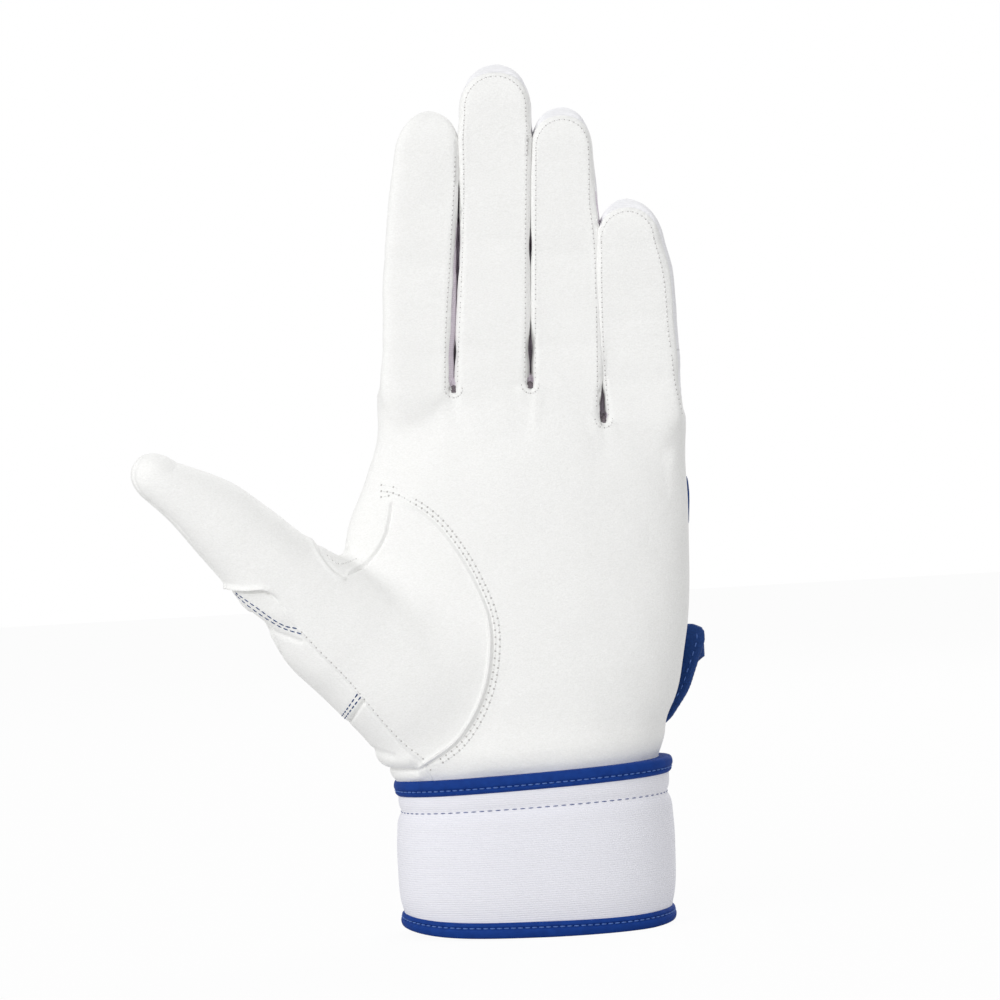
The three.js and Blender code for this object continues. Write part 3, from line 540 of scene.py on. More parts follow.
def finger_seam(finger, p):
    """Distance inside the front leather of a finger: zero on its seam, positive on the leather."""
    x, y, s = finger.local(p)
    closed = finger.closed(x, s)
    inset = finger.inset_at(x, s) - 0.5 * closed
    half_width = finger.half_width(x, s) - inset
    past = np.maximum(s - finger.straight, 0)
    tip = finger.dome - TIP_SEAM
    u = np.hypot(x / half_width, past / tip) + 1e-9
    inside = (np.hypot(x, past) + 1e-9) * (1 / u - 1)
    edge = lerp(-1.5, -4.5, closed * smooth(finger.straight + 2, finger.straight - 6, s))
    if finger is INDEX:
        on_side = smooth(0, 3, x) * smooth(finger.straight + 3, finger.straight - 9, s)
        return lerp(3.5 - y, np.minimum(inside, edge - y), on_side)
    return np.minimum(inside, edge - y)


def finger_relief(finger, p):
    """Height of a stall's seam and of its creases over the joints."""
    x, y, s = finger.local(p)
    seam = finger_seam(finger, p)
    start = np.where(x > 0, finger.sink, 0)
    fade = smooth(start - 2.5, start + 1.0, s)
    on_front = smooth(0, -3, y)
    groove = -0.35 * bump(seam, 0.4) + 0.12 * bump(seam - 2.2, 1.0) - 0.1 * bump(seam - 1.0, 0.4)
    height = fade * on_front * groove
    for joint in (finger.joints["lower"] + 2, finger.joints["upper"]):
        height += -0.22 * bump(s - joint, 2.6) * smooth(2, -4, y)
    return height


# Meshes as (points, triangles)

def surface_net(field, low, high, cell):
    """A quad net on the zero surface of a field, from a regular grid."""
    axes = [np.arange(low[k], high[k] + cell, cell) for k in range(3)]
    shape = [len(a) for a in axes]
    grid = np.stack(np.meshgrid(*axes, indexing="ij"), axis=-1).reshape(-1, 3)
    values = np.concatenate([field(part) for part in np.array_split(grid, 24)]).reshape(shape)
    inside = values < 0
    corners = np.argwhere(np.ones((2, 2, 2)))
    windows = [tuple(slice(a, a + n - 1) for a, n in zip(corner, shape)) for corner in corners]
    count = sum(inside[window].astype(int) for window in windows)
    cells = np.argwhere((count > 0) & (count < 8))
    ids = -np.ones([n - 1 for n in shape], int)
    ids[tuple(cells.T)] = np.arange(len(cells))
    total = np.zeros((len(cells), 3))
    number = np.zeros(len(cells))
    step = np.eye(3, dtype=int)
    for a in corners:
        for along in step[a == 0]:
            va, vb = values[tuple((cells + a).T)], values[tuple((cells + a + along).T)]
            crossing = (va < 0) != (vb < 0)
            t = np.where(crossing, va / np.where(crossing, va - vb, 1), 0)
            total += np.where(crossing[:, None], cells + a + t[:, None] * along, 0)
            number += crossing
    points = np.array(low) + cell * total / number[:, None]
    quads = []
    for k in range(3):
        u, v = (k + 1) % 3, (k + 2) % 3
        flips = np.argwhere(np.diff(np.moveaxis(inside, k, 0), axis=0))
        edges = np.empty_like(flips)
        order = [axis for axis in range(3) if axis != k]
        edges[:, k], edges[:, order[0]], edges[:, order[1]] = flips.T
        inner = [(edges[:, side] > 0) & (edges[:, side] < shape[side] - 1) for side in (u, v)]
        edges = edges[inner[0] & inner[1]]
        outward = inside[tuple(edges.T)]
        turns = ((1, 1), (0, 1), (0, 0), (1, 0))
        ring = [ids[tuple((edges - du * step[u] - dv * step[v]).T)] for du, dv in turns]
        quad = rows_of(*ring)
        quads.append(np.where(outward[:, None], quad, quad[:, ::-1]))
    quads = np.concatenate(quads)
    return points, np.concatenate([quads[:, [0, 1, 2]], quads[:, [0, 2, 3]]])


def different(pairs):
    """The different edges among pairs of points, and which of them each pair is."""
    edges, back = np.unique(np.sort(pairs, axis=1), axis=0, return_inverse=True)
    return edges, back.reshape(-1)


def sides_of(tris):
    return np.concatenate([tris[:, [0, 1]], tris[:, [1, 2]], tris[:, [2, 0]]])


def starting_at(odd):
    """The order of a triangle's corners that starts at its odd one."""
    return (odd.argmax(axis=1)[:, None] + np.arange(3)) % 3


def cut(mesh, field):
    """The part of a mesh where a field is negative, with a clean edge along the field's zero line."""
    points, tris = mesh
    value = field(points)
    value = np.where(np.abs(value) < 1e-6, -1e-6, value)
    inside = value < 0
    number = inside[tris].sum(axis=1)
    kept = [tris[number == 3]]
    split = []
    for wanted in (1, 2):
        some = tris[number == wanted]
        split.append(np.take_along_axis(some, starting_at(inside[some] == (wanted == 1)), axis=1))
    edges, back = different(np.concatenate([s[:, corners] for s in split for corners in ([0, 1], [0, 2])]))
    back = back + len(points)
    va, vb = value[edges].T
    t = (va / (va - vb))[:, None]
    added = points[edges[:, 0]] * (1 - t) + points[edges[:, 1]] * t
    one, two = split
    ids_one, ids_two = back[:2 * len(one)], back[2 * len(one):]
    kept.append(rows_of(one[:, 0], ids_one[:len(one)], ids_one[len(one):]))
    ab, ac = ids_two[:len(two)], ids_two[len(two):]
    kept += [rows_of(ab, two[:, 1], two[:, 2]), rows_of(ab, two[:, 2], ac)]
    return tidy(np.concatenate([points, added]), np.concatenate(kept))


def refine(mesh, near):
    """Halves the edges of a mesh where a test on its points holds."""
    points, tris = mesh
    close = near(points)
    edges, back = different(sides_of(tris))
    halved = close[edges].all(axis=1)
    ids = np.where(halved, len(points) + np.cumsum(halved) - 1, -1)
    middles = points[edges[halved]].mean(axis=1)
    m = ids[back.reshape(3, -1)].T
    count = (m >= 0).sum(axis=1)
    made = [tris[count == 0]]
    for wanted in (1, 2):
        some, mid = tris[count == wanted], m[count == wanted]
        turn = starting_at((mid >= 0) == (wanted == 1))
        (a, b, c), (ab, bc, ca) = (np.take_along_axis(rows, turn, axis=1).T for rows in (some, mid))
        if wanted == 1:
            made += [rows_of(a, ab, c), rows_of(ab, b, c)]
        else:
            made += [rows_of(a, b, bc), rows_of(a, bc, ca), rows_of(ca, bc, c)]
    (a, b, c), (ab, bc, ca) = tris[count == 3].T, m[count == 3].T
    made += [rows_of(a, ab, ca), rows_of(ab, b, bc), rows_of(ca, bc, c), rows_of(ab, bc, ca)]
    return np.concatenate([points, middles]), np.concatenate(made)


def tidy(points, tris):
    """Only the points in use, without triangles that have shrunk to nothing."""
    a, b, c = (points[tris[:, k]] for k in range(3))
    tris = tris[np.linalg.norm(np.cross(b - a, c - a), axis=1) > 1e-7]
    used, back = np.unique(tris, return_inverse=True)
    return points[used], back.reshape(-1, 3)


def grid_tris(rows, columns, closed=False):
    """Triangles of a grid of points, row by row; a closed grid joins its last column to its first."""
    i, j = np.meshgrid(np.arange(rows - 1), np.arange(columns if closed else columns - 1), indexing="ij")
    k = (j + 1) % columns
    a, b, c, d = (i * columns + j, i * columns + k, (i + 1) * columns + k, (i + 1) * columns + j)
    return np.stack([rows_of(a, b, c), rows_of(a, c, d)], axis=2).reshape(-1, 3)


def rim_edges(tris):
    """Edges that only one triangle has, in its direction."""
    edges = sides_of(tris)
    _, first, count = np.unique(np.sort(edges, axis=1), axis=0, return_index=True, return_counts=True)
    return edges[first[count == 1]]


def wall(upper, lower, edges):
    """Triangles between the edges of an upper rim and those of a lower one."""
    a, b = edges.T
    return np.concatenate([rows_of(upper[b], upper[a], lower[a]), rows_of(upper[b], lower[a], lower[b])])


FOLD = 0.35
FOLD_DEPTH = 0.12
ALLOWANCE = 0.9
ALLOWANCE_DEPTH = 0.5


def skirt(points, tris, normals):
    """Adds a seam allowance to every edge of a panel: a strip that runs on under the next panel."""
    edges = rim_edges(tris)
    rim, back = np.unique(edges, return_inverse=True)
    back = back.reshape(-1, 2)
    along = points[edges[:, 1]] - points[edges[:, 0]]
    out = np.cross(along, normals[edges[:, 0]])
    sideways = np.zeros((len(rim), 3))
    for k in (0, 1):
        np.add.at(sideways, back[:, k], out)
    sideways = unit(sideways)
    first = len(points) + np.arange(len(rim))
    second = first + len(rim)
    near = points[rim] + FOLD * sideways - FOLD_DEPTH * normals[rim]
    far = points[rim] + ALLOWANCE * sideways - ALLOWANCE_DEPTH * normals[rim]
    return (np.concatenate([points, near, far]),
            np.concatenate([tris, wall(rim, first, back), wall(first, second, back)]),
            np.concatenate([normals, normals[rim], unit(normals[rim] + sideways)]))


# Blender objects


def add_object(name, data):
    obj = bpy.data.objects.new(name, data)
    bpy.context.scene.collection.objects.link(obj)
    return obj


def add_piece(name, points, tris, skin, on, nodes=(), normals=None, marks=None):
    """A smooth mesh that rides on a body, or stays where it is when given the two bodies of a bend, in place
    of the named solids.

    Marks are more points and triangles of the same mesh, with a material of their own.
    """
    mesh = bpy.data.meshes.new(name)
    first = len(tris)
    if marks:
        tris = np.concatenate([tris, marks[1] + len(points)])
        points = np.concatenate([points, marks[0]])
    mesh.from_pydata(to_frame(points).tolist(), [], np.asarray(tris).tolist())
    mesh.polygons.foreach_set("use_smooth", [True] * len(mesh.polygons))
    if normals is not None:
        mesh.normals_split_custom_set_from_vertices(unit(normals).tolist())
    mesh.materials.append(skin)
    if marks:
        mesh.materials.append(marks[2])
        mesh.polygons.foreach_set("material_index", [0] * first + [1] * (len(tris) - first))
    obj = add_object(name, mesh)
    if isinstance(on, str):
        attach(obj, on)
    else:
        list(on)
        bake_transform(obj)
    if nodes:
        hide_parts(*nodes)


def dressed(mesh, form):
    """Points, triangles and normals of a panel with its relief and seam allowances."""
    points, tris = mesh
    points = settle(form, points, 2)
    normals = unit(gradient(form, points))
    slope = gradient(relief, points, 0.12)
    slope -= normals * (slope * normals).sum(axis=1)[:, None]
    raised = points + normals * relief(points)[:, None]
    return skirt(raised, tris, unit(normals - slope))


# Materials

NAP_DEPTH = 0.0002


def colour(rgb):
    return (*(((c / 255 + 0.055) / 1.055) ** 2.4 for c in rgb), 1)


def node(tree, kind, inputs, **settings):
    """A shader node with its settings, each input set to a value or linked to a socket."""
    made = tree.nodes.new(f"ShaderNode{kind}")
    for key, value in settings.items():
        setattr(made, key, value)
    for key, value in inputs.items():
        if isinstance(value, bpy.types.NodeSocket):
            tree.links.new(value, made.inputs[key])
        else:
            made.inputs[key].default_value = value
    return made


def texture(tree, kind, scale, inputs, **settings):
    """A texture over object coordinates counted in millimetres, stretched by a scale."""
    where = node(tree, "TexCoord", {}).outputs["Object"]
    mapping = node(tree, "Mapping", {"Scale": [s / MM for s in scale], "Vector": where})
    inputs = {"Scale": 1.0, "Vector": mapping.outputs["Vector"], **inputs}
    return node(tree, f"Tex{kind}", inputs, **settings)


def material(name, base, low, high, roughness, pattern, sheen=0.0, gloss=0.3):
    """A material that runs from a low to a high colour over a pattern, whose heights are its grain."""
    mat = bpy.data.materials.new(name)
    mat.use_nodes = True
    tree = mat.node_tree
    shader = tree.nodes["Principled BSDF"]
    looks = {"Base Color": colour(base), "Roughness": roughness, "Specular IOR Level": gloss,
             "Sheen Weight": sheen, "Sheen Roughness": 0.5}
    for key, value in looks.items():
        shader.inputs[key].default_value = value
    factor, heights = pattern(tree)
    mix = node(tree, "Mix", {"A": colour(low), "B": colour(high), "Factor": factor}, data_type="RGBA")
    tree.links.new(mix.outputs["Result"], shader.inputs["Base Color"])
    below = {}
    for height, strength in heights:
        grain = node(tree, "Bump", {"Strength": strength, "Distance": NAP_DEPTH, "Height": height, **below})
        below = {"Normal": grain.outputs["Normal"]}
    tree.links.new(below["Normal"], shader.inputs["Normal"])
    return mat


def suede(tree):
    """Fine mottled nap with a slight run across the hand, and soft large patches."""
    nap = texture(tree, "Noise", (1.7, 1.7, 3.6), {"Detail": 3.0, "Roughness": 0.6}).outputs["Fac"]
    broad = texture(tree, "Noise", (0.05, 0.05, 0.05), {"Detail": 2.0}).outputs["Fac"]
    grain = texture(tree, "Noise", (0.45, 0.45, 0.75), {"Detail": 4.0, "Roughness": 0.55}).outputs["Fac"]
    pores = texture(tree, "Voronoi", (2.2, 2.2, 2.2), {}).outputs["Distance"]
    spread = node(tree, "MapRange", {"From Min": 0.3, "From Max": 0.7, "To Max": 0.8, "Value": nap})
    both = node(tree, "Math", {0: broad, 1: 0.2, 2: spread.outputs["Result"]}, operation="MULTIPLY_ADD")
    return both.outputs["Value"], [(grain, 0.7), (nap, 0.4), (pores, 0.2)]


def knit(pitch, strength):
    """Fine ribs round the piece with a loop in every rib."""
    def pattern(tree):
        rate = 2 * math.pi / (20 * pitch)
        waves = {"Distortion": 0.6, "Detail": 1.5, "Detail Scale": 2.0}
        ribs = texture(tree, "Wave", (rate, rate, rate), waves, wave_type="BANDS", bands_direction="Z")
        loops = texture(tree, "Noise", (1.4, 1.4, 2.8), {"Detail": 2.0}).outputs["Fac"]
        ribs = ribs.outputs["Fac"]
        shade = node(tree, "Math", {0: ribs, 1: loops}, operation="MULTIPLY")
        return shade.outputs["Value"], [(ribs, strength), (loops, 0.25)]
    return pattern


def woven(size):
    """A checked weave under a soft cloud of colour."""
    def pattern(tree):
        checks = texture(tree, "Checker", (1 / size, 1 / size, 1 / size), {}).outputs["Fac"]
        cloud = texture(tree, "Noise", (0.5, 0.5, 0.5), {"Detail": 3.0}).outputs["Fac"]
        return cloud, [(checks, 0.15), (cloud, 0.15)]
    return pattern


def thread(name, base, low, high, roughness=0.6, gloss=0.3):
    return material(name, base, low, high, roughness, woven(0.2), gloss=gloss)


WHITE = material("white_leather", (248, 248, 246), (241, 241, 239), (253, 253, 252), 0.78, suede,
                 sheen=0.1)
STRETCH = material("stretch_knit", (246, 246, 248), (242, 242, 245), (250, 250, 252), 0.9, knit(0.5, 0.25),
                   sheen=0.1)
# A darker mauve copy of the stretch knit for the strips and webs in the slits: its mauve tint is the strips'
# own, and part of its darkness is painted shade of the slits.
SHADED_FOURCHETTE = material("fourchette_knit", (222, 213, 223), (212, 202, 213), (233, 225, 234), 0.9,
                      knit(0.5, 0.3), sheen=0.1)
CUFF_KNIT = material("cuff_knit", (240, 240, 246), (235, 235, 243), (247, 247, 251), 0.92, knit(0.58, 0.28),
                     sheen=0.1)
BLUE_TAPE = material("blue_binding", (18, 56, 132), (11, 46, 116), (24, 66, 148), 0.7, woven(0.35),
                     gloss=0.12)
BLUE_LEATHER = material("blue_leather", (28, 62, 122), (22, 53, 108), (34, 71, 138), 0.55, suede,
                        gloss=0.2)
WHITE_THREAD = thread("white_thread", (242, 242, 241), (234, 234, 233), (247, 247, 246))
BLUE_THREAD = thread("blue_thread", (76, 110, 182), (62, 96, 170), (92, 126, 194), 0.5)
NAVY_THREAD = thread("navy_thread", (28, 60, 112), (20, 50, 100), (38, 72, 128), 0.5, 0.1)
DARK_THREAD = thread("dark_thread", (98, 108, 150), (84, 94, 138), (114, 124, 162))
TACK_THREAD = thread("tack_thread", (112, 103, 109), (98, 90, 96), (128, 119, 125), 0.7)
# Grey discs at the needle holes: painted shade of the dimples that the thread sinks into.
NEEDLE_HOLE_SHADE = thread("needle_hole", (194, 192, 190), (182, 180, 178), (206, 204, 202), 0.9)
HOOK_LOOP = material("hook_and_loop", (222, 222, 230), (206, 206, 216), (236, 236, 242), 0.95, woven(0.6),
                     sheen=0.3)

# Hand panels: one net over palm, back and thumb, cut along the seams

CELL = 0.75
NET_LOW = (-101, -33, 38)
NET_HIGH = (50, 22, 145)
KNUCKLE_PANEL_Z = CUFF_HEIGHT + 72
GUSSET_RISE = 36
GUSSET_HALF_WIDTH = 11


def negative(field):
    return lambda p: -field(p)


def parted(mesh, field):
    """The two parts of a mesh: where a field is negative, and the rest."""
    return cut(mesh, field), cut(mesh, negative(field))


def thumb_side(p):
    """Negative on the thumb's side of the line from the thumb's crotch to its lower edge."""
    x, z = p[:, 0], p[:, 2]
    (ax, az), (bx, bz) = THUMB_SPLIT
    length = math.hypot(bx - ax, bz - az)
    over = ((bx - ax) * (z - az) - (bz - az) * (x - ax)) / length
    above = (z - az) * CROTCH_FACING[1] + (x - ax) * CROTCH_FACING[0]
    return np.maximum(over, above)


def frontness(p):
    """Negative on the palm's side of the seam between palm and back."""
    x, y, s = thumb_local(p)
    on_thumb = smooth(30, 42, s) * smooth(20, 14, x)
    inwards = 3.2 * bump(s - 81, 9) * smooth(2, -4, x) + 2.5 * smooth(88, 97, s)
    tilt = y - 0.3 * np.clip(x, -14, 14) + inwards
    return lerp(p[:, 1] - RIGHT_WRAP, tilt, on_thumb)


def thumb_panel_side(p):
    """Negative inside the thumb panel: left of the arc and below the hem at the thumb's crotch."""
    return -line_distance(THUMB_PANEL, p[:, 0], p[:, 2])


def side_panel(p):
    """Negative on the panel at the lower edge of the thumb."""
    return -line_distance(SIDE_SEAM, p[:, 0], p[:, 2])


def rim_height(p):
    """Negative above the edge of the hand's panels, which lies inside the wrist tape."""
    return CUFF_HEIGHT - 3 + CUFF_TILT * p[:, 0] - p[:, 2]


def knuckle_height(x):
    """Height of the seam between the back of the hand and the knuckle panel."""
    return KNUCKLE_PANEL_Z + 3.5 * np.cos((x - 6) / 40 * math.pi / 2)


def knuckle_line(p):
    return knuckle_height(p[:, 0]) - p[:, 2]


def gusset(p):
    """Negative on the pointed gusset at the back of the wrist."""
    x, y, z = p.T
    narrowing = GUSSET_HALF_WIDTH * (CUFF_HEIGHT + GUSSET_RISE - z) / GUSSET_RISE
    return np.maximum(np.abs(x - 2) - narrowing, z - CUFF_HEIGHT - GUSSET_RISE)


def web_region(x0, z0):
    """Negative on the web at the bottom of a slit, behind the leather's edge."""
    def field(p):
        x, y, z = p.T
        low = np.maximum(-3.0 - y, z0 - 3.0 - z)
        high = np.maximum.reduce([-7.5 - y, z0 + 0.7 - z, np.abs(x - x0) - 0.9])
        return np.maximum.reduce([np.abs(x - x0) - WEB_HALF_WIDTH, y - 5.5, np.minimum(low, high)])
    return field


def near_seam(reach):
    """A test for points of the palm close to its curved seams."""
    def test(p):
        x, y, z = p.T
        return (np.minimum.reduce([np.abs(line_distance(line, x, z)) for line in SEAMS]) < reach) & (y < 4)
    return test


points, tris = surface_net(whole_form, NET_LOW, NET_HIGH, CELL)
net = (settle(whole_form, points), tris)
for reach in (5.0, 3.6):
    net = refine(net, near_seam(reach))
net = (settle(whole_form, net[0], 2), net[1])
thumb_net, hand_net = parted(cut(cut(net, stall_start), rim_height), thumb_side)
panels = []
for (x0, z0), pair in zip(slits, ("index_middle", "middle_ring", "ring_little")):
    web, hand_net = parted(hand_net, web_region(x0, z0))
    # The webs take the mauve knit whose darkness is partly painted shade of the slits.
    panels.append((f"web_{pair}", web, SHADED_FOURCHETTE, "hand", f"fourchette_{pair}"))
side_net, rest = parted(hand_net, side_panel)
front_net, back_net = parted(rest, frontness)
thumb_base, palm = parted(front_net, thumb_panel_side)
knuckles, below_knuckles = parted(back_net, knuckle_line)
thumb_front, thumb_back = parted(thumb_net, frontness)
panels += [
    ("palm", palm, WHITE, "hand", "palm_panel"),
    ("thumb_base", thumb_base, WHITE, "hand", "thumb_base_panel"),
    ("thumb_side", side_net, WHITE, "hand", "thumb_side_panel"),
    ("knuckles", knuckles, STRETCH, "hand", "knuckle_panel"),
    ("back_of_hand", cut(below_knuckles, negative(gusset)), WHITE, "hand", "back_hand_panel"),
    ("wrist_gusset", cut(back_net, gusset), STRETCH, "hand", "wrist_gusset"),
    ("thumb_front", thumb_front, WHITE, thumb_bend, "thumb_front"),
    ("thumb_back", thumb_back, WHITE, thumb_bend, "thumb_back"),
]


def relief(p):
    """Relief of the whole glove: the hand's fades out where the stalls start, and each stall adds its own."""
    on_hand = smooth(1.0, -6.0, stall_start(p))
    behind = smooth(1, 5, p[:, 1])
    height = palm_relief(p) - 0.5 * behind * (bump(knuckle_line(p), 0.7) + bump(gusset(p), 0.7))
    across, _, along = thumb_local(p)
    plain_tip = smooth(-1, 3, across) * smooth(80, 88, along)
    height -= 0.5 * bump(frontness(p), 0.7) * smooth(54, 62, p[:, 2]) * (1 - plain_tip)
    height = on_hand * height + 0.12 * unevenness(p)
    for finger in FINGERS:
        x, y, s = finger.local(p)
        own = (np.abs(x) < finger.half_width(x, s) + 0.25) & (s > -12)
        height += np.where(own, finger_relief(finger, p), 0)
    return height


surfaces = []
for name, mesh, skin, on, cad_node in panels:
    points, tris, normals = dressed(mesh, whole_form)
    surfaces.append((points, tris))
    add_piece(name, points, tris, skin, on, [cad_node], normals)

# Finger stalls: a tube round each finger's own line, cut along its seams and between its joints

ROUND = 64
FINGER_STEP = 1.0
TIP_ROWS = 18
SEARCH_STEP = 0.25


def finger_tube(finger):
    """A closed stall on the finger's form, from the crotch to the tip."""
    angles = np.linspace(0, 2 * math.pi, 721)
    cos, sin = np.cos(angles), np.sin(angles)
    n = np.where(sin < 0, FINGER_FLATNESS, FINGER_SQUARENESS)
    ux, uy = even(rows_of(squared(cos, n), squared(sin, n)), ROUND)[:-1].T
    rows = []
    straight = np.arange(finger.sink - 16, finger.straight, FINGER_STEP)
    caps = np.sin(np.linspace(0, math.pi / 2, TIP_ROWS)[:-1])
    stations = np.concatenate([straight, finger.straight + caps * finger.dome])
    for s in stations:
        _, half_depth = finger.halves(s)
        half_width = finger.half_width(ux, s, uy * half_depth)
        past = max(s - finger.straight, 0) / finger.dome
        round_off = math.sqrt(1 - past * past)
        rows.append(finger.at(ux * half_width * round_off, uy * half_depth * round_off, s))
    points = np.concatenate(rows + [finger.at(0, 0, finger.length)[None]])
    tris = grid_tris(len(rows), ROUND, closed=True)
    last = (len(rows) - 1) * ROUND
    j = np.arange(ROUND)
    cap = rows_of(last + j, last + (j + 1) % ROUND, np.full(ROUND, len(points) - 1))
    return points, np.concatenate([tris, cap])


def push_out(finger, p):
    """Points of a finger's tube moved straight out to where the finger fillets into the palm."""
    x, y, s = finger.local(p)
    near = s < 14
    axis = finger.at(0, 0, s[near])
    out = p[near] - axis
    reach = np.linalg.norm(out, axis=1)
    out = out / reach[:, None]

    def outside(r):
        return finger_form(finger, axis + out * r[:, None]) > 0

    low = 0.5 * reach
    found = np.zeros(len(low), bool)
    for _ in range(60):
        found |= outside(low + SEARCH_STEP)
        low = np.where(found, low, low + SEARCH_STEP)
    high = low + SEARCH_STEP
    for _ in range(12):
        middle = (low + high) / 2
        beyond = outside(middle)
        low, high = np.where(beyond, low, middle), np.where(beyond, middle, high)
    p = p.copy()
    p[near] = axis + out * ((low + high) / 2)[:, None]
    return p


def fourchette(finger, side):
    """Negative on the side strip that faces the next finger."""
    def field(p):
        x, y, s = finger.local(p)
        end = min(finger.straight, finger.free[side > 0] + 8)
        half = lerp(4.2, -5.0, smooth(end - 16, end, s))
        return np.maximum.reduce([y - half, s - end, 1.0 - side * x])
    return field


SIDE_NAMES = {-1: "left", 1: "right"}
finger_surfaces = {}
for finger in FINGERS:
    points, tris = finger_tube(finger)
    stall = cut((push_out(finger, points), tris), negative(stall_start))
    sections = parted(stall, lambda p: finger.local(p)[2] - finger.split)
    for zone, section in zip(("lower", "upper"), sections):
        rest, front = parted(section, lambda p: finger_seam(finger, p))
        pieces = [("front", front, WHITE)]
        for side, faces in zip(SIDE_NAMES, finger.faces):
            if faces:
                strip, rest = parted(rest, fourchette(finger, side))
                # The side strips take the same mauve knit, partly darkened as painted shade of the slits.
                pieces.append((f"fourchette_{SIDE_NAMES[side]}", strip, SHADED_FOURCHETTE))
        pieces.append(("back", rest, STRETCH))
        for part, mesh, skin in pieces:
            name = f"{finger.name}_{zone}_{part}"
            points, tris, normals = dressed(mesh, lambda p: finger_form(finger, p))
            finger_surfaces.setdefault((finger.name, zone), []).append((points, tris))
            add_piece(f"skin_{name}", points, tris, skin, finger.bend(zone), [name], normals)

# Cuff

def cuff_ring(grow, z, count=200):
    """Points round the cuff at a height, grown outwards."""
    angles = np.linspace(0, 2 * math.pi, count, endpoint=False)
    cos, sin = np.cos(angles), np.sin(angles)
    x = CUFF_X + squared(cos, SQUARENESS) * (CUFF_HALF_WIDTH + grow)
    x = x + (0.5 + 0.03 * z) * (0.5 + 0.5 * cos)
    y = squared(sin, SQUARENESS) * (CUFF_HALF_DEPTH + grow)
    lift = np.where(cos < 0, 1.9, 1.1) * cos ** 4 * smooth(14, 0, z)
    return rows_of(x, y, z + lift)


def cuff_loop(profile, tilt_at):
    """Closed tube round the cuff from a closed profile of (outward, height)."""
    rows = []
    for out, z in profile:
        row = cuff_ring(out, z)
        row[:, 2] += tilt_at(z) * row[:, 0]
        rows.append(row)
    rows.append(rows[0])
    points = np.concatenate(rows)
    return points, grid_tris(len(rows), len(rows[0]), closed=True)[:, ::-1]


def cuff_tilt(z):
    return lerp(HEM_TILT, CUFF_TILT, np.clip(z / CUFF_HEIGHT, 0, 1))


CUFF_WALL = 2.6
SEAM_Z = 33.2
heights = np.linspace(1.2, CUFF_HEIGHT - 1.0, 60)
belly = curve([0, 3.5, 8, 18, 27, SEAM_Z - 1.5, SEAM_Z, SEAM_Z + 1.5, 38.5, 42],
              [-0.3, 0.1, 0.9, 1.3, 1.0, 0.3, -0.45, 0.0, 0.1, -0.3])
outer = [(belly(z), z) for z in heights]
inner = [(-CUFF_WALL, z) for z in heights[::-6]]
points, tris = cuff_loop(outer + inner, cuff_tilt)
add_piece("cuff_knit_band", points, tris, CUFF_KNIT, "hand", ["cuff_band"])

TAPE = 4.1


def tape_profile(edge, way):
    """Folded tape round an edge of the cuff: way is -1 under the lower edge and 1 over the upper one."""
    thick = 1.15
    path = [(0.1, 0), (0.8, 0.2), (thick, 0.9), (thick + 0.1, 1.8), (1.05, 2.4), (0.45, 2.75), (0.95, 3.1),
            (0.85, 3.6), (0.3, TAPE), (0.0, TAPE + 0.1)]
    outside = [(out, edge - way * z) for out, z in path]
    inside = [(-CUFF_WALL - out, edge - way * z) for out, z in path[::-1]]
    return outside + inside if way < 0 else (outside + inside)[::-1]


def round_profile(profile, rounds=2):
    """A closed profile with its corners cut smooth."""
    for _ in range(rounds):
        ahead = profile[1:] + profile[:1]
        profile = [
            (a[0] * (1 - t) + b[0] * t, a[1] * (1 - t) + b[1] * t)
            for a, b in zip(profile, ahead) for t in (0.25, 0.75)
        ]
    return profile


tapes = (("hem_tape", 0.0, -1, HEM_TILT, "cuff_bottom_binding"),
         ("wrist_tape", CUFF_HEIGHT, 1, CUFF_TILT, "cuff_top_binding"))
for name, edge, way, tilt, cad_node in tapes:
    points, tris = cuff_loop(round_profile(tape_profile(edge, way)), lambda z: tilt)
    add_piece(name, points, tris, BLUE_TAPE, "hand", [cad_node])

# Stitches

# One stitch: place along its length, share of its radius, height in radii
STITCH = np.array([
    (-0.5, 0.35, -1.2), (-0.36, 0.9, -0.3), (0, 1, 0.25), (0.36, 0.9, -0.3), (0.5, 0.35, -1.2),
])
STITCH_SINK = 0.12
STITCH_SIDES = 6
HOLE_LIFT = 0.09
HOLE_DISH = 0.05


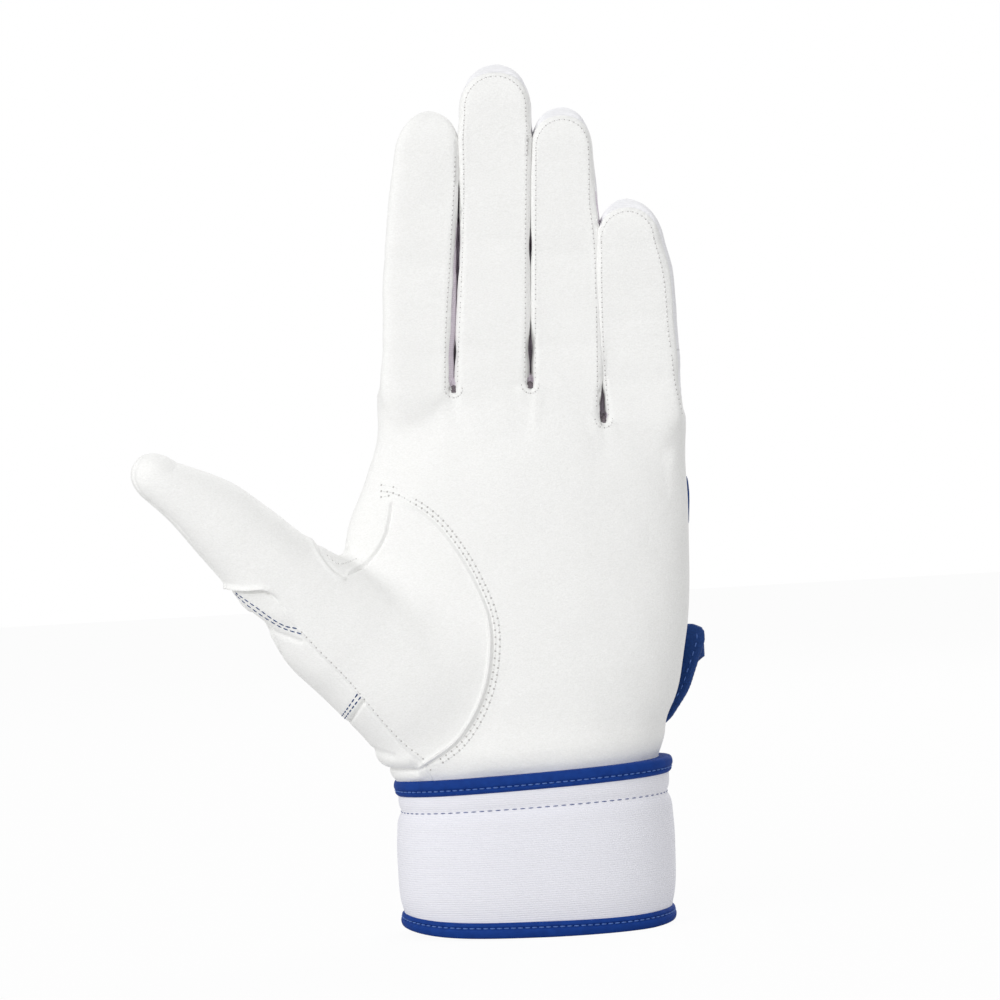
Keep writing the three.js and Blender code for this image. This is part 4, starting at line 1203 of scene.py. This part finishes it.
def stitch_rows(path, normals, pitch, length, radius, hole=0.0):
    """Short bowed capsules of thread along a path on a surface, and the needle holes between them as dished
    grey discs of painted shade.
    """
    steps = lengths(path)
    number = max(int(steps[-1] / pitch), 1)
    middles = (np.arange(number) + 0.5) * steps[-1] / number

    def at(distance, rows):
        return rows_of(*(np.interp(distance, steps, column) for column in rows.T))

    def frame_at(distance):
        up = unit(at(distance, normals))
        run = unit(at(distance + 0.3, path) - at(distance - 0.3, path))
        return up, unit(np.cross(run, up)), run

    spots = middles[:, None] + STITCH[:, 0] * length
    up, side, _ = frame_at(spots)
    centre = at(spots, path) + up * (radius * (STITCH[:, 2] + 0.5) - STITCH_SINK)[:, None]
    rings = centre[..., None, :] + radius * STITCH[:, 1][:, None, None] * around(side, up, STITCH_SIDES)
    one = grid_tris(len(STITCH), STITCH_SIDES, closed=True)
    count = len(STITCH) * STITCH_SIDES
    tris = (one[None] + count * np.arange(number)[:, None, None]).reshape(-1, 3)
    if not hole:
        return rings.reshape(-1, 3), tris, None
    # Needle holes: small dished discs in a grey that is painted shade.
    ends = np.arange(number + 1) * steps[-1] / number
    up, side, run = frame_at(ends)
    middle = at(ends, path) + HOLE_LIFT * up
    rims = middle[:, None] + hole * around(side, run, STITCH_SIDES) - HOLE_DISH * up[:, None]
    discs = np.concatenate([middle[:, None], rims], axis=1)
    fan = np.array([(0, 1 + (k + 1) % STITCH_SIDES, 1 + k) for k in range(STITCH_SIDES)])
    hole_shade_tris = (fan[None] + (STITCH_SIDES + 1) * np.arange(number + 1)[:, None, None]).reshape(-1, 3)
    return rings.reshape(-1, 3), tris, (discs.reshape(-1, 3), hole_shade_tris, NEEDLE_HOLE_SHADE)


def joined(parts):
    """Several meshes as one: the points and the triangles."""
    starts = np.cumsum([0] + [len(part[0]) for part in parts])
    points = np.concatenate([part[0] for part in parts])
    return points, np.concatenate([part[1] + start for part, start in zip(parts, starts)])


def tree_of(parts):
    points, tris = joined(parts)
    return BVHTree.FromPolygons(points.tolist(), tris.tolist())


def drop(tree, spots, way):
    """Where spots seen from the front (way 1) or the back (way -1) lie on a surface, and its normals."""
    places, normals = [], []
    for x, z in spots:
        hit, normal, _, _ = tree.ray_cast(Vector((x, -100.0 * way, z)), Vector((0, way, 0)))
        if hit is None:
            continue
        normal = np.array(normal)
        places.append(np.array(hit))
        normals.append(normal if normal[1] * way < 0 else -normal)
    return np.array(places), np.array(normals)


def beside(line, distance):
    """A flat line shifted to its left by a distance."""
    run = unit(np.gradient(line, axis=0))
    return line + distance * rows_of(-run[:, 1], run[:, 0])


hand_tree = tree_of(surfaces)


def sew(name, spots, on, thread=WHITE_THREAD, way=1, pitch=1.8, length=1.25, radius=0.2, hole=0.0,
        tree=hand_tree):
    """A row of stitches over spots (x, z) of a surface, on a body, or left in place when given the two bodies
    of a bend.
    """
    path, normals = drop(tree, spots, way)
    points, tris, hole_shades = stitch_rows(path, normals, pitch, length, radius, hole)
    add_piece(name, points, tris, thread, on, marks=hole_shades)


# Radius of the grey discs of painted shade at the needle holes of the thumb's arc.
HOLE = 0.3
x, z = THUMB_SEAM.T
arc = THUMB_SEAM[(z > CUFF_HEIGHT + 5) & ((x > -26) | (z < CUFF_HEIGHT + 40))]
arc_ends = ([(-28.5, 72.9), (-31, 74), (-33.5, 74.4)], [(-29.9, 75.2), (-33.4, 76)])
for number, (row, spots) in enumerate(zip(ARC_ROWS, arc_ends)):
    end = [(x, CUFF_HEIGHT + rise) for x, rise in spots]
    sew(f"stitches_thumb_arc_{number}", np.concatenate([beside(arc, -row), end]), "hand", hole=HOLE)
arc_close = palm_line([(-33.6, 72.9), (-31.6, 73.1)], 4)
sew("stitches_thumb_arc_end", arc_close, "hand", hole=HOLE, pitch=1.3, length=0.8)
side_line = SIDE_SEAM[(SIDE_SEAM[:, 1] > CUFF_HEIGHT + 0.6) & (SIDE_SEAM[:, 0] > -56)]
sew("stitches_side_seam", beside(side_line, -0.5), "hand", hole=0.24)
sew("stitches_gusset", palm_line([(-48, 58.6), (-45.4, 56.3), (-41, 57.2)], 12), "hand", hole=0.2)

# Rows round the front leather of each stall
STITCH_INSET = 1.6
STALL_ROW = {"pitch": 1.25, "length": 0.85, "radius": 0.18, "hole": 0.2}
for finger in FINGERS:
    for zone in ("lower", "upper"):
        tree = tree_of(finger_surfaces[(finger.name, zone)])
        for way in (1,) if finger is INDEX else (-1, 1):
            s = np.arange(0.5 + (0.7 * finger.sink if way > 0 else 0), finger.straight, 0.8)
            s = s[s < finger.split - 0.5] if zone == "lower" else s[s > finger.split + 0.5]
            x = way * (finger.half_width(way, s) - finger.inset_at(way, s) - STITCH_INSET)
            sew(f"stitches_{finger.name}_{zone}_{SIDE_NAMES[way]}", finger.seen(x, s), finger.bend(zone),
                tree=tree, **STALL_ROW)
        if zone == "upper" and finger is not INDEX:
            turn = np.linspace(math.pi, 0, 60)
            s = np.full(60, finger.straight)
            half = finger.half_width(np.cos(turn), s) - STITCH_INSET - finger.inset_at(np.cos(turn), s)
            s = s + np.sin(turn) * (finger.dome - TIP_SEAM - STITCH_INSET + 0.2)
            sew(f"stitches_{finger.name}_tip", finger.seen(np.cos(turn) * half, s), finger.bend(zone),
                tree=tree, **STALL_ROW)

# Ends of the slits: a tack of dark thread in a bend of white stitches
TACK_REACH = 0.8
BEND_RADIUS = 2.3
for (x0, z0), name in zip(slits, ("index", "middle", "ring")):
    bars = []
    for rise in (-0.3, 0.15, 0.6, 1.05):
        path, normals = drop(hand_tree, [(x0 - TACK_REACH, z0 + rise), (x0 + TACK_REACH, z0 + rise)], 1)
        bars.append(stitch_rows(path, normals, 1.6, 1.3, 0.32))
    add_piece(f"tack_{name}", *joined(bars), TACK_THREAD, "hand")
    turn = np.linspace(math.pi, 2 * math.pi, 24)
    bend_line = rows_of(x0 + BEND_RADIUS * np.cos(turn), z0 + 0.4 + BEND_RADIUS * np.sin(turn))
    sew(f"stitches_slit_{name}", bend_line, "hand", pitch=1.2, length=0.8, radius=0.18, hole=0.2)


# Threads of the cuff

def cuff_thread(name, out, z, tilt, thread, pitch, length, radius):
    path = cuff_ring(out, z, 600)
    path[:, 2] += tilt * path[:, 0]
    path = np.concatenate([path, path[:1]])
    run = unit(np.gradient(path, axis=0))
    points, tris, _ = stitch_rows(path, np.cross(run, [0, 0, 1.0]), pitch, length, radius)
    add_piece(name, points, tris, thread, "hand")


cuff_thread("stitches_wrist_tape", 0.85, CUFF_HEIGHT - 2.75, CUFF_TILT, BLUE_THREAD, 1.8, 1.35, 0.2)
cuff_thread("stitches_hem_tape", 0.85, 2.75, HEM_TILT, BLUE_THREAD, 1.8, 1.35, 0.2)
cuff_thread("stitches_cuff_seam", -0.4, SEAM_Z, cuff_tilt(SEAM_Z), DARK_THREAD, 2.1, 1.7, 0.16)

# Blue lines of stitching that come round from the back to the thumb's side
blue_lines = {
    "upper_0": [(-72.2, 50.5), (-65.7, 45.5), (-62.6, 43), (-59.4, 41.1), (-56.4, 40.4)],
    "upper_1": [(-72.5, 50.2), (-68.6, 46.6), (-64.5, 43.4), (-60.1, 40.6), (-55.3, 38.9)],
    "lower_0": [(-42, 22.9), (-46.1, 17.7), (-47.8, 15.7)],
    "lower_1": [(-41.2, 22.1), (-45.7, 16.7), (-47.3, 14.7)],
}
for name, spots in blue_lines.items():
    on = thumb_bend if name.startswith("upper") else "hand"
    sew(f"blue_line_{name}", palm_line(spots, 30), on, NAVY_THREAD, length=1.7, radius=0.18)

# Blue piping along the knuckle seam, which turns down at the little finger's edge of the hand


def tube(path, radii, sides=12):
    """A round cord along a path, closed at its thin ends."""
    run = unit(np.gradient(path, axis=0))
    across = unit(np.cross(run, [0.3, 0.2, 1.0]))
    over = np.cross(run, across)
    points = path[:, None] + radii[:, None, None] * around(across, over, sides)
    return points.reshape(-1, 3), grid_tris(len(path), sides, closed=True)[:, ::-1]


def side_hits(way, spots):
    """Points of the hand's edge met from the side, way -1 from the thumb's side and 1 from the other."""
    inward = Vector((-way, 0, 0))
    rays = [hand_tree.ray_cast(Vector((100 * way, y, CUFF_HEIGHT + rise)), inward) for y, rise in spots]
    return np.array([np.array(ray[0]) for ray in rays])


PIPING_RADIUS = 0.85
xs = np.linspace(-28, 38, 30)
over_back, _ = drop(hand_tree, rows_of(xs, knuckle_height(xs)), -1)
from_thumb = side_hits(-1, [(3.4, 71.9), (5.5, 71.9), (7.8, 72)])
down_edge = side_hits(1, [(6.5, 74), (4, 74.2), (2.4, 73.6), (1.7, 71.5), (1.4, 68), (1.3, 65), (1.5, 61)])
path = spline(np.concatenate([from_thumb, over_back, down_edge]), 180)
t = np.linspace(0, 1, len(path))
ends = np.sqrt(np.clip(np.minimum(t, 1 - t) / 0.01, 0.01, 1))
radii = PIPING_RADIUS * lerp(1, 0.45, smooth(0.88, 1, t)) * ends
add_piece("knuckle_piping", *tube(path, radii), BLUE_LEATHER, "hand")

# Double rows of blue stitching over the back, where the leather bends
for number, rise in enumerate((44, 53, 62)):
    spots = [(-30 + number, rise - 4), (-14, rise), (6, rise + 1.5), (24, rise), (38 - number, rise - 4)]
    line = palm_line(spots, 60)
    for row, shift in enumerate((-0.8, 0.8)):
        sew(f"back_line_{number}_{row}", beside(line, shift), "hand", NAVY_THREAD, way=-1, pitch=2.0,
            length=1.6)
for finger in FINGERS:
    tree = tree_of(finger_surfaces[(finger.name, "upper")])
    for row, shift in enumerate((-3.2, -1.8, 1.8, 3.2)):
        x = np.linspace(-0.62, 0.62, 20) * finger.width / 2
        s = finger.joints["upper"] + shift + 1.2 * (1 - (x / x.max()) ** 2)
        sew(f"back_line_{finger.name}_{row}", finger.seen(x, s), finger.bend("upper"), NAVY_THREAD, way=-1,
            length=1.4, tree=tree)

# Closing strap across the back of the wrist

STRAP_PLAN = spline([
    (-22.6, 15.7), (-17.7, 17.4), (-13.3, 18.5), (-8.8, 19.5), (-4.2, 20.2), (0.3, 20.6), (4.8, 20.6),
    (9.4, 20.5), (14, 20.3), (18.6, 19.9), (23.2, 19.2), (27.9, 18.3), (32.6, 16.8), (37.5, 14.7),
    (42.2, 11.3), (52, 4.4),
], 120)
STRAP_THICKNESS = 1.8


def strap_place(x, z, out):
    """A point beside the strap's inner face: at x along it, at a height, pushed outwards."""
    run = unit(np.gradient(STRAP_PLAN, axis=0))
    y = np.interp(x, STRAP_PLAN[:, 0], STRAP_PLAN[:, 1])
    along_x, along_y = (np.interp(x, STRAP_PLAN[:, 0], run[:, k]) for k in (0, 1))
    return rows_of(x - along_y * out, y + along_x * out, z)


def pillow(outline, base, thickness, step, edge):
    """A plate of soft material on the strap's plan, with round edges along its outline."""
    outline = np.array(outline, float)
    closed = np.concatenate([outline, outline[:1]])
    (x0, z0), (x1, z1) = outline.min(axis=0) - step, outline.max(axis=0) + step
    xs, zs = np.arange(x0, x1 + step, step), np.arange(z0, z1 + step, step)
    x, z = (part.reshape(-1) for part in np.meshgrid(xs, zs, indexing="ij"))
    mesh = (rows_of(x, 0 * x, z), grid_tris(len(xs), len(zs)))

    def inside(p):
        return line_distance(closed, p[:, 0], p[:, 2])

    mesh = refine(mesh, lambda p: np.abs(inside(p)) < 3 * edge)
    points, tris = cut(mesh, lambda p: -inside(p))
    round_off = 1 - np.sqrt(np.clip(1 - (1 - np.clip(inside(points) / edge, 0, 1)) ** 2, 0, 1))
    top = strap_place(points[:, 0], points[:, 2], base + thickness * (1 - 0.42 * round_off))
    bottom = strap_place(points[:, 0], points[:, 2], base + thickness * 0.25 * round_off)
    ids = np.arange(len(points))
    under = ids + len(points)
    return (np.concatenate([top, bottom]),
            np.concatenate([tris, under[tris[:, ::-1]], wall(ids, under, rim_edges(tris))]))


def corner(points, steps):
    return [tuple(p) for p in spline(points, steps)]


strap_outline = (
    [(-22.3, 52.6), (10, 52.3), (27, 51)]
    + corner([(33.5, 50.2), (36.6, 50), (38.6, 51.6), (40.6, 54.4), (43.7, 59.2), (45.9, 64.9), (47.6, 69.5),
              (48.6, 73), (48.2, 75.6), (45.8, 76.8)], 30)
    + [(40, 77), (-22.3, 77)]
)
points, tris = pillow(strap_outline, 0.0, STRAP_THICKNESS, 0.9, 0.8)
add_piece("closing_strap", points, tris, BLUE_LEATHER, "strap", ["strap"])
strap_tree = tree_of([(points, tris)])
strap_edge = even(np.array(strap_outline + strap_outline[:1]), 160)
sew("stitches_strap", beside(strap_edge, 1.9), "strap", BLUE_THREAD, way=-1, pitch=2.4, length=1.7,
    radius=0.22, tree=strap_tree)
tip_line = beside(strap_edge, 1.4)
tip_line = tip_line[(tip_line[:, 0] > 39.5) & (tip_line[:, 1] < 75)]
sew("stitches_strap_lining", tip_line, "strap", BLUE_THREAD, pitch=2.2, length=1.6, tree=strap_tree)

PAD_THICKNESS = 1.0
pad_outline = [
    (7, 55.6), (31.4, 55.6), (32.3, 56.5), (32.3, 73), (31.4, 73.9), (7, 73.9), (6.1, 73), (6.1, 56.5),
]
pads = (("hook_pad", -1.3, "strap", "hook_patch"), ("loop_pad", -2.6, "hand", "loop_patch"))
for name, base, body, cad_node in pads:
    add_piece(name, *pillow(pad_outline, base, PAD_THICKNESS, 1.0, 0.4), HOOK_LOOP, body, [cad_node])

# Pull tab: a folded loop of the strap's leather
TAB_START = np.array([41.6, 14.1])
TAB_RUN = np.array([0.817, -0.577])
TAB_OUT = np.array([0.577, 0.817])
TAB_LENGTH = 5.6
TAB_RADIUS = 1.45
TAB_Z = 69.8
TAB_MIDDLE = 6
turns = np.linspace(-math.pi / 2, 3 * math.pi / 2, 64, endpoint=False)
end = np.where(np.cos(turns) > 0, TAB_LENGTH, 0.0)
loop = rows_of(end + TAB_RADIUS * np.cos(turns), 1.9 + TAB_RADIUS * np.sin(turns))
loop = even(np.concatenate([loop, loop[:1]]), 72)[:-1]
ahead = np.roll(loop, -1, axis=0) - np.roll(loop, 1, axis=0)
normal = unit(rows_of(ahead[:, 1], -ahead[:, 0]))
section = [
    (-0.45, 0.5), (-0.3, 0.15), (0, 0), (0.3, 0.15), (0.45, 0.5), (0.5, 3), (0.5, 6), (0.5, 9),
    (0.45, 11.5), (0.3, 11.85), (0, 12), (-0.3, 11.85), (-0.45, 11.5), (-0.5, 9), (-0.5, 6), (-0.5, 3),
]
rows = []
for out, z in section:
    flat = loop + out * normal
    plan = TAB_START + flat[:, :1] * TAB_RUN + flat[:, 1:] * TAB_OUT
    height = TAB_Z + (z - TAB_MIDDLE) * (0.68 - 0.34 * smooth(3, 7.2, flat[:, 0]))
    rows.append(np.column_stack([plan, height]))
rows.append(rows[0])
points, tris = np.concatenate(rows), grid_tris(len(rows), len(loop), closed=True)
add_piece("folded_pull_tab", points, tris, BLUE_LEATHER, "strap", ["pull_tab"])


# Stage

def area_light(name, place, target, size, power):
    lamp = bpy.data.lights.new(name, "AREA")
    lamp.size = size
    lamp.energy = power
    obj = add_object(name, lamp)
    obj.location = place
    obj.rotation_euler = (Vector(target) - Vector(place)).to_track_quat("-Z", "Y").to_euler()


centre = Vector(to_frame([-23.3, 0, 113]))
area_light("key", centre + Vector((-0.85, -0.95, 0.75)), centre, 0.8, 8.3)
area_light("front", centre + Vector((0.0, -1.5, 0.1)), centre, 1.4, 4.1)
area_light("rim", centre + Vector((0.5, 0.9, 0.7)), centre, 0.8, 5)

# A white backdrop that lights the glove less than it shows
BACKDROP_LIGHT = 0.58
world = bpy.data.worlds.new("studio")
bpy.context.scene.world = world
world.use_nodes = True
tree = world.node_tree
rays = node(tree, "LightPath", {}).outputs
seen = node(tree, "Math", {0: rays["Is Camera Ray"], 1: rays["Is Glossy Ray"]}, operation="MAXIMUM")
light = node(tree, "Mix", {"A": BACKDROP_LIGHT, "B": 1.0, "Factor": seen.outputs["Value"]})
background = tree.nodes["Background"]
background.inputs["Color"].default_value = (1, 1, 1, 1)
tree.links.new(light.outputs["Result"], background.inputs["Strength"])

# A paper floor that passes into the backdrop
SPAN = 3.0
PAPER = 0.72
PAPER_GLOW = 0.95
floor_mesh = bpy.data.meshes.new("floor")
floor_corners = [(-SPAN, -SPAN, 0), (SPAN, -SPAN, 0), (SPAN, SPAN, 0), (-SPAN, SPAN, 0)]
floor_mesh.from_pydata(floor_corners, [], [(0, 1, 2, 3)])
floor = add_object("floor", floor_mesh)
paper = bpy.data.materials.new("paper_floor")
paper.use_nodes = True
tree = paper.node_tree
shader = tree.nodes["Principled BSDF"]
shader.inputs["Base Color"].default_value = (PAPER, PAPER, PAPER, 1)
shader.inputs["Roughness"].default_value = 1.0
glow = node(tree, "Emission", {"Strength": 1.0})
rays = node(tree, "LightPath", {}).outputs
share = node(tree, "Math", {0: rays["Is Camera Ray"], 1: PAPER_GLOW}, operation="MULTIPLY")
mix = node(tree, "MixShader", {
    0: share.outputs["Value"], 1: shader.outputs["BSDF"], 2: glow.outputs["Emission"],
})
tree.links.new(mix.outputs["Shader"], tree.nodes["Material Output"].inputs["Surface"])
floor_mesh.materials.append(paper)

# Camera: level with the middle of the glove, rolled so that the hem rises to the right as in the photograph
PIXEL = 0.26
PHOTO_WIDTH = 1000
PHOTO_CENTRE = (500, 500)
PHOTO_HEM = (535, 931)
ROLL = math.radians(3.2)
DISTANCE = 0.9
SENSOR = 36
camera_data = bpy.data.cameras.new("camera")
camera = add_object("camera", camera_data)
bpy.context.scene.camera = camera
right, up = (PHOTO_CENTRE[0] - PHOTO_HEM[0]) * PIXEL, (PHOTO_HEM[1] - PHOTO_CENTRE[1]) * PIXEL
aim_x = right * math.cos(ROLL) + up * math.sin(ROLL)
aim_z = up * math.cos(ROLL) - right * math.sin(ROLL)
aim = Vector(to_frame([aim_x, -8, aim_z]))
camera.location = aim + Vector((0, -DISTANCE, 0))
camera.rotation_mode = "QUATERNION"
camera.rotation_quaternion = (
    Matrix.Rotation(math.pi / 2, 3, "X") @ Matrix.Rotation(-ROLL, 3, "Z")).to_quaternion()
camera_data.sensor_width = SENSOR
camera_data.sensor_fit = "HORIZONTAL"
camera_data.lens = SENSOR * DISTANCE / (PHOTO_WIDTH * PIXEL * MM)

bpy.context.scene.view_settings.view_transform = "Standard"
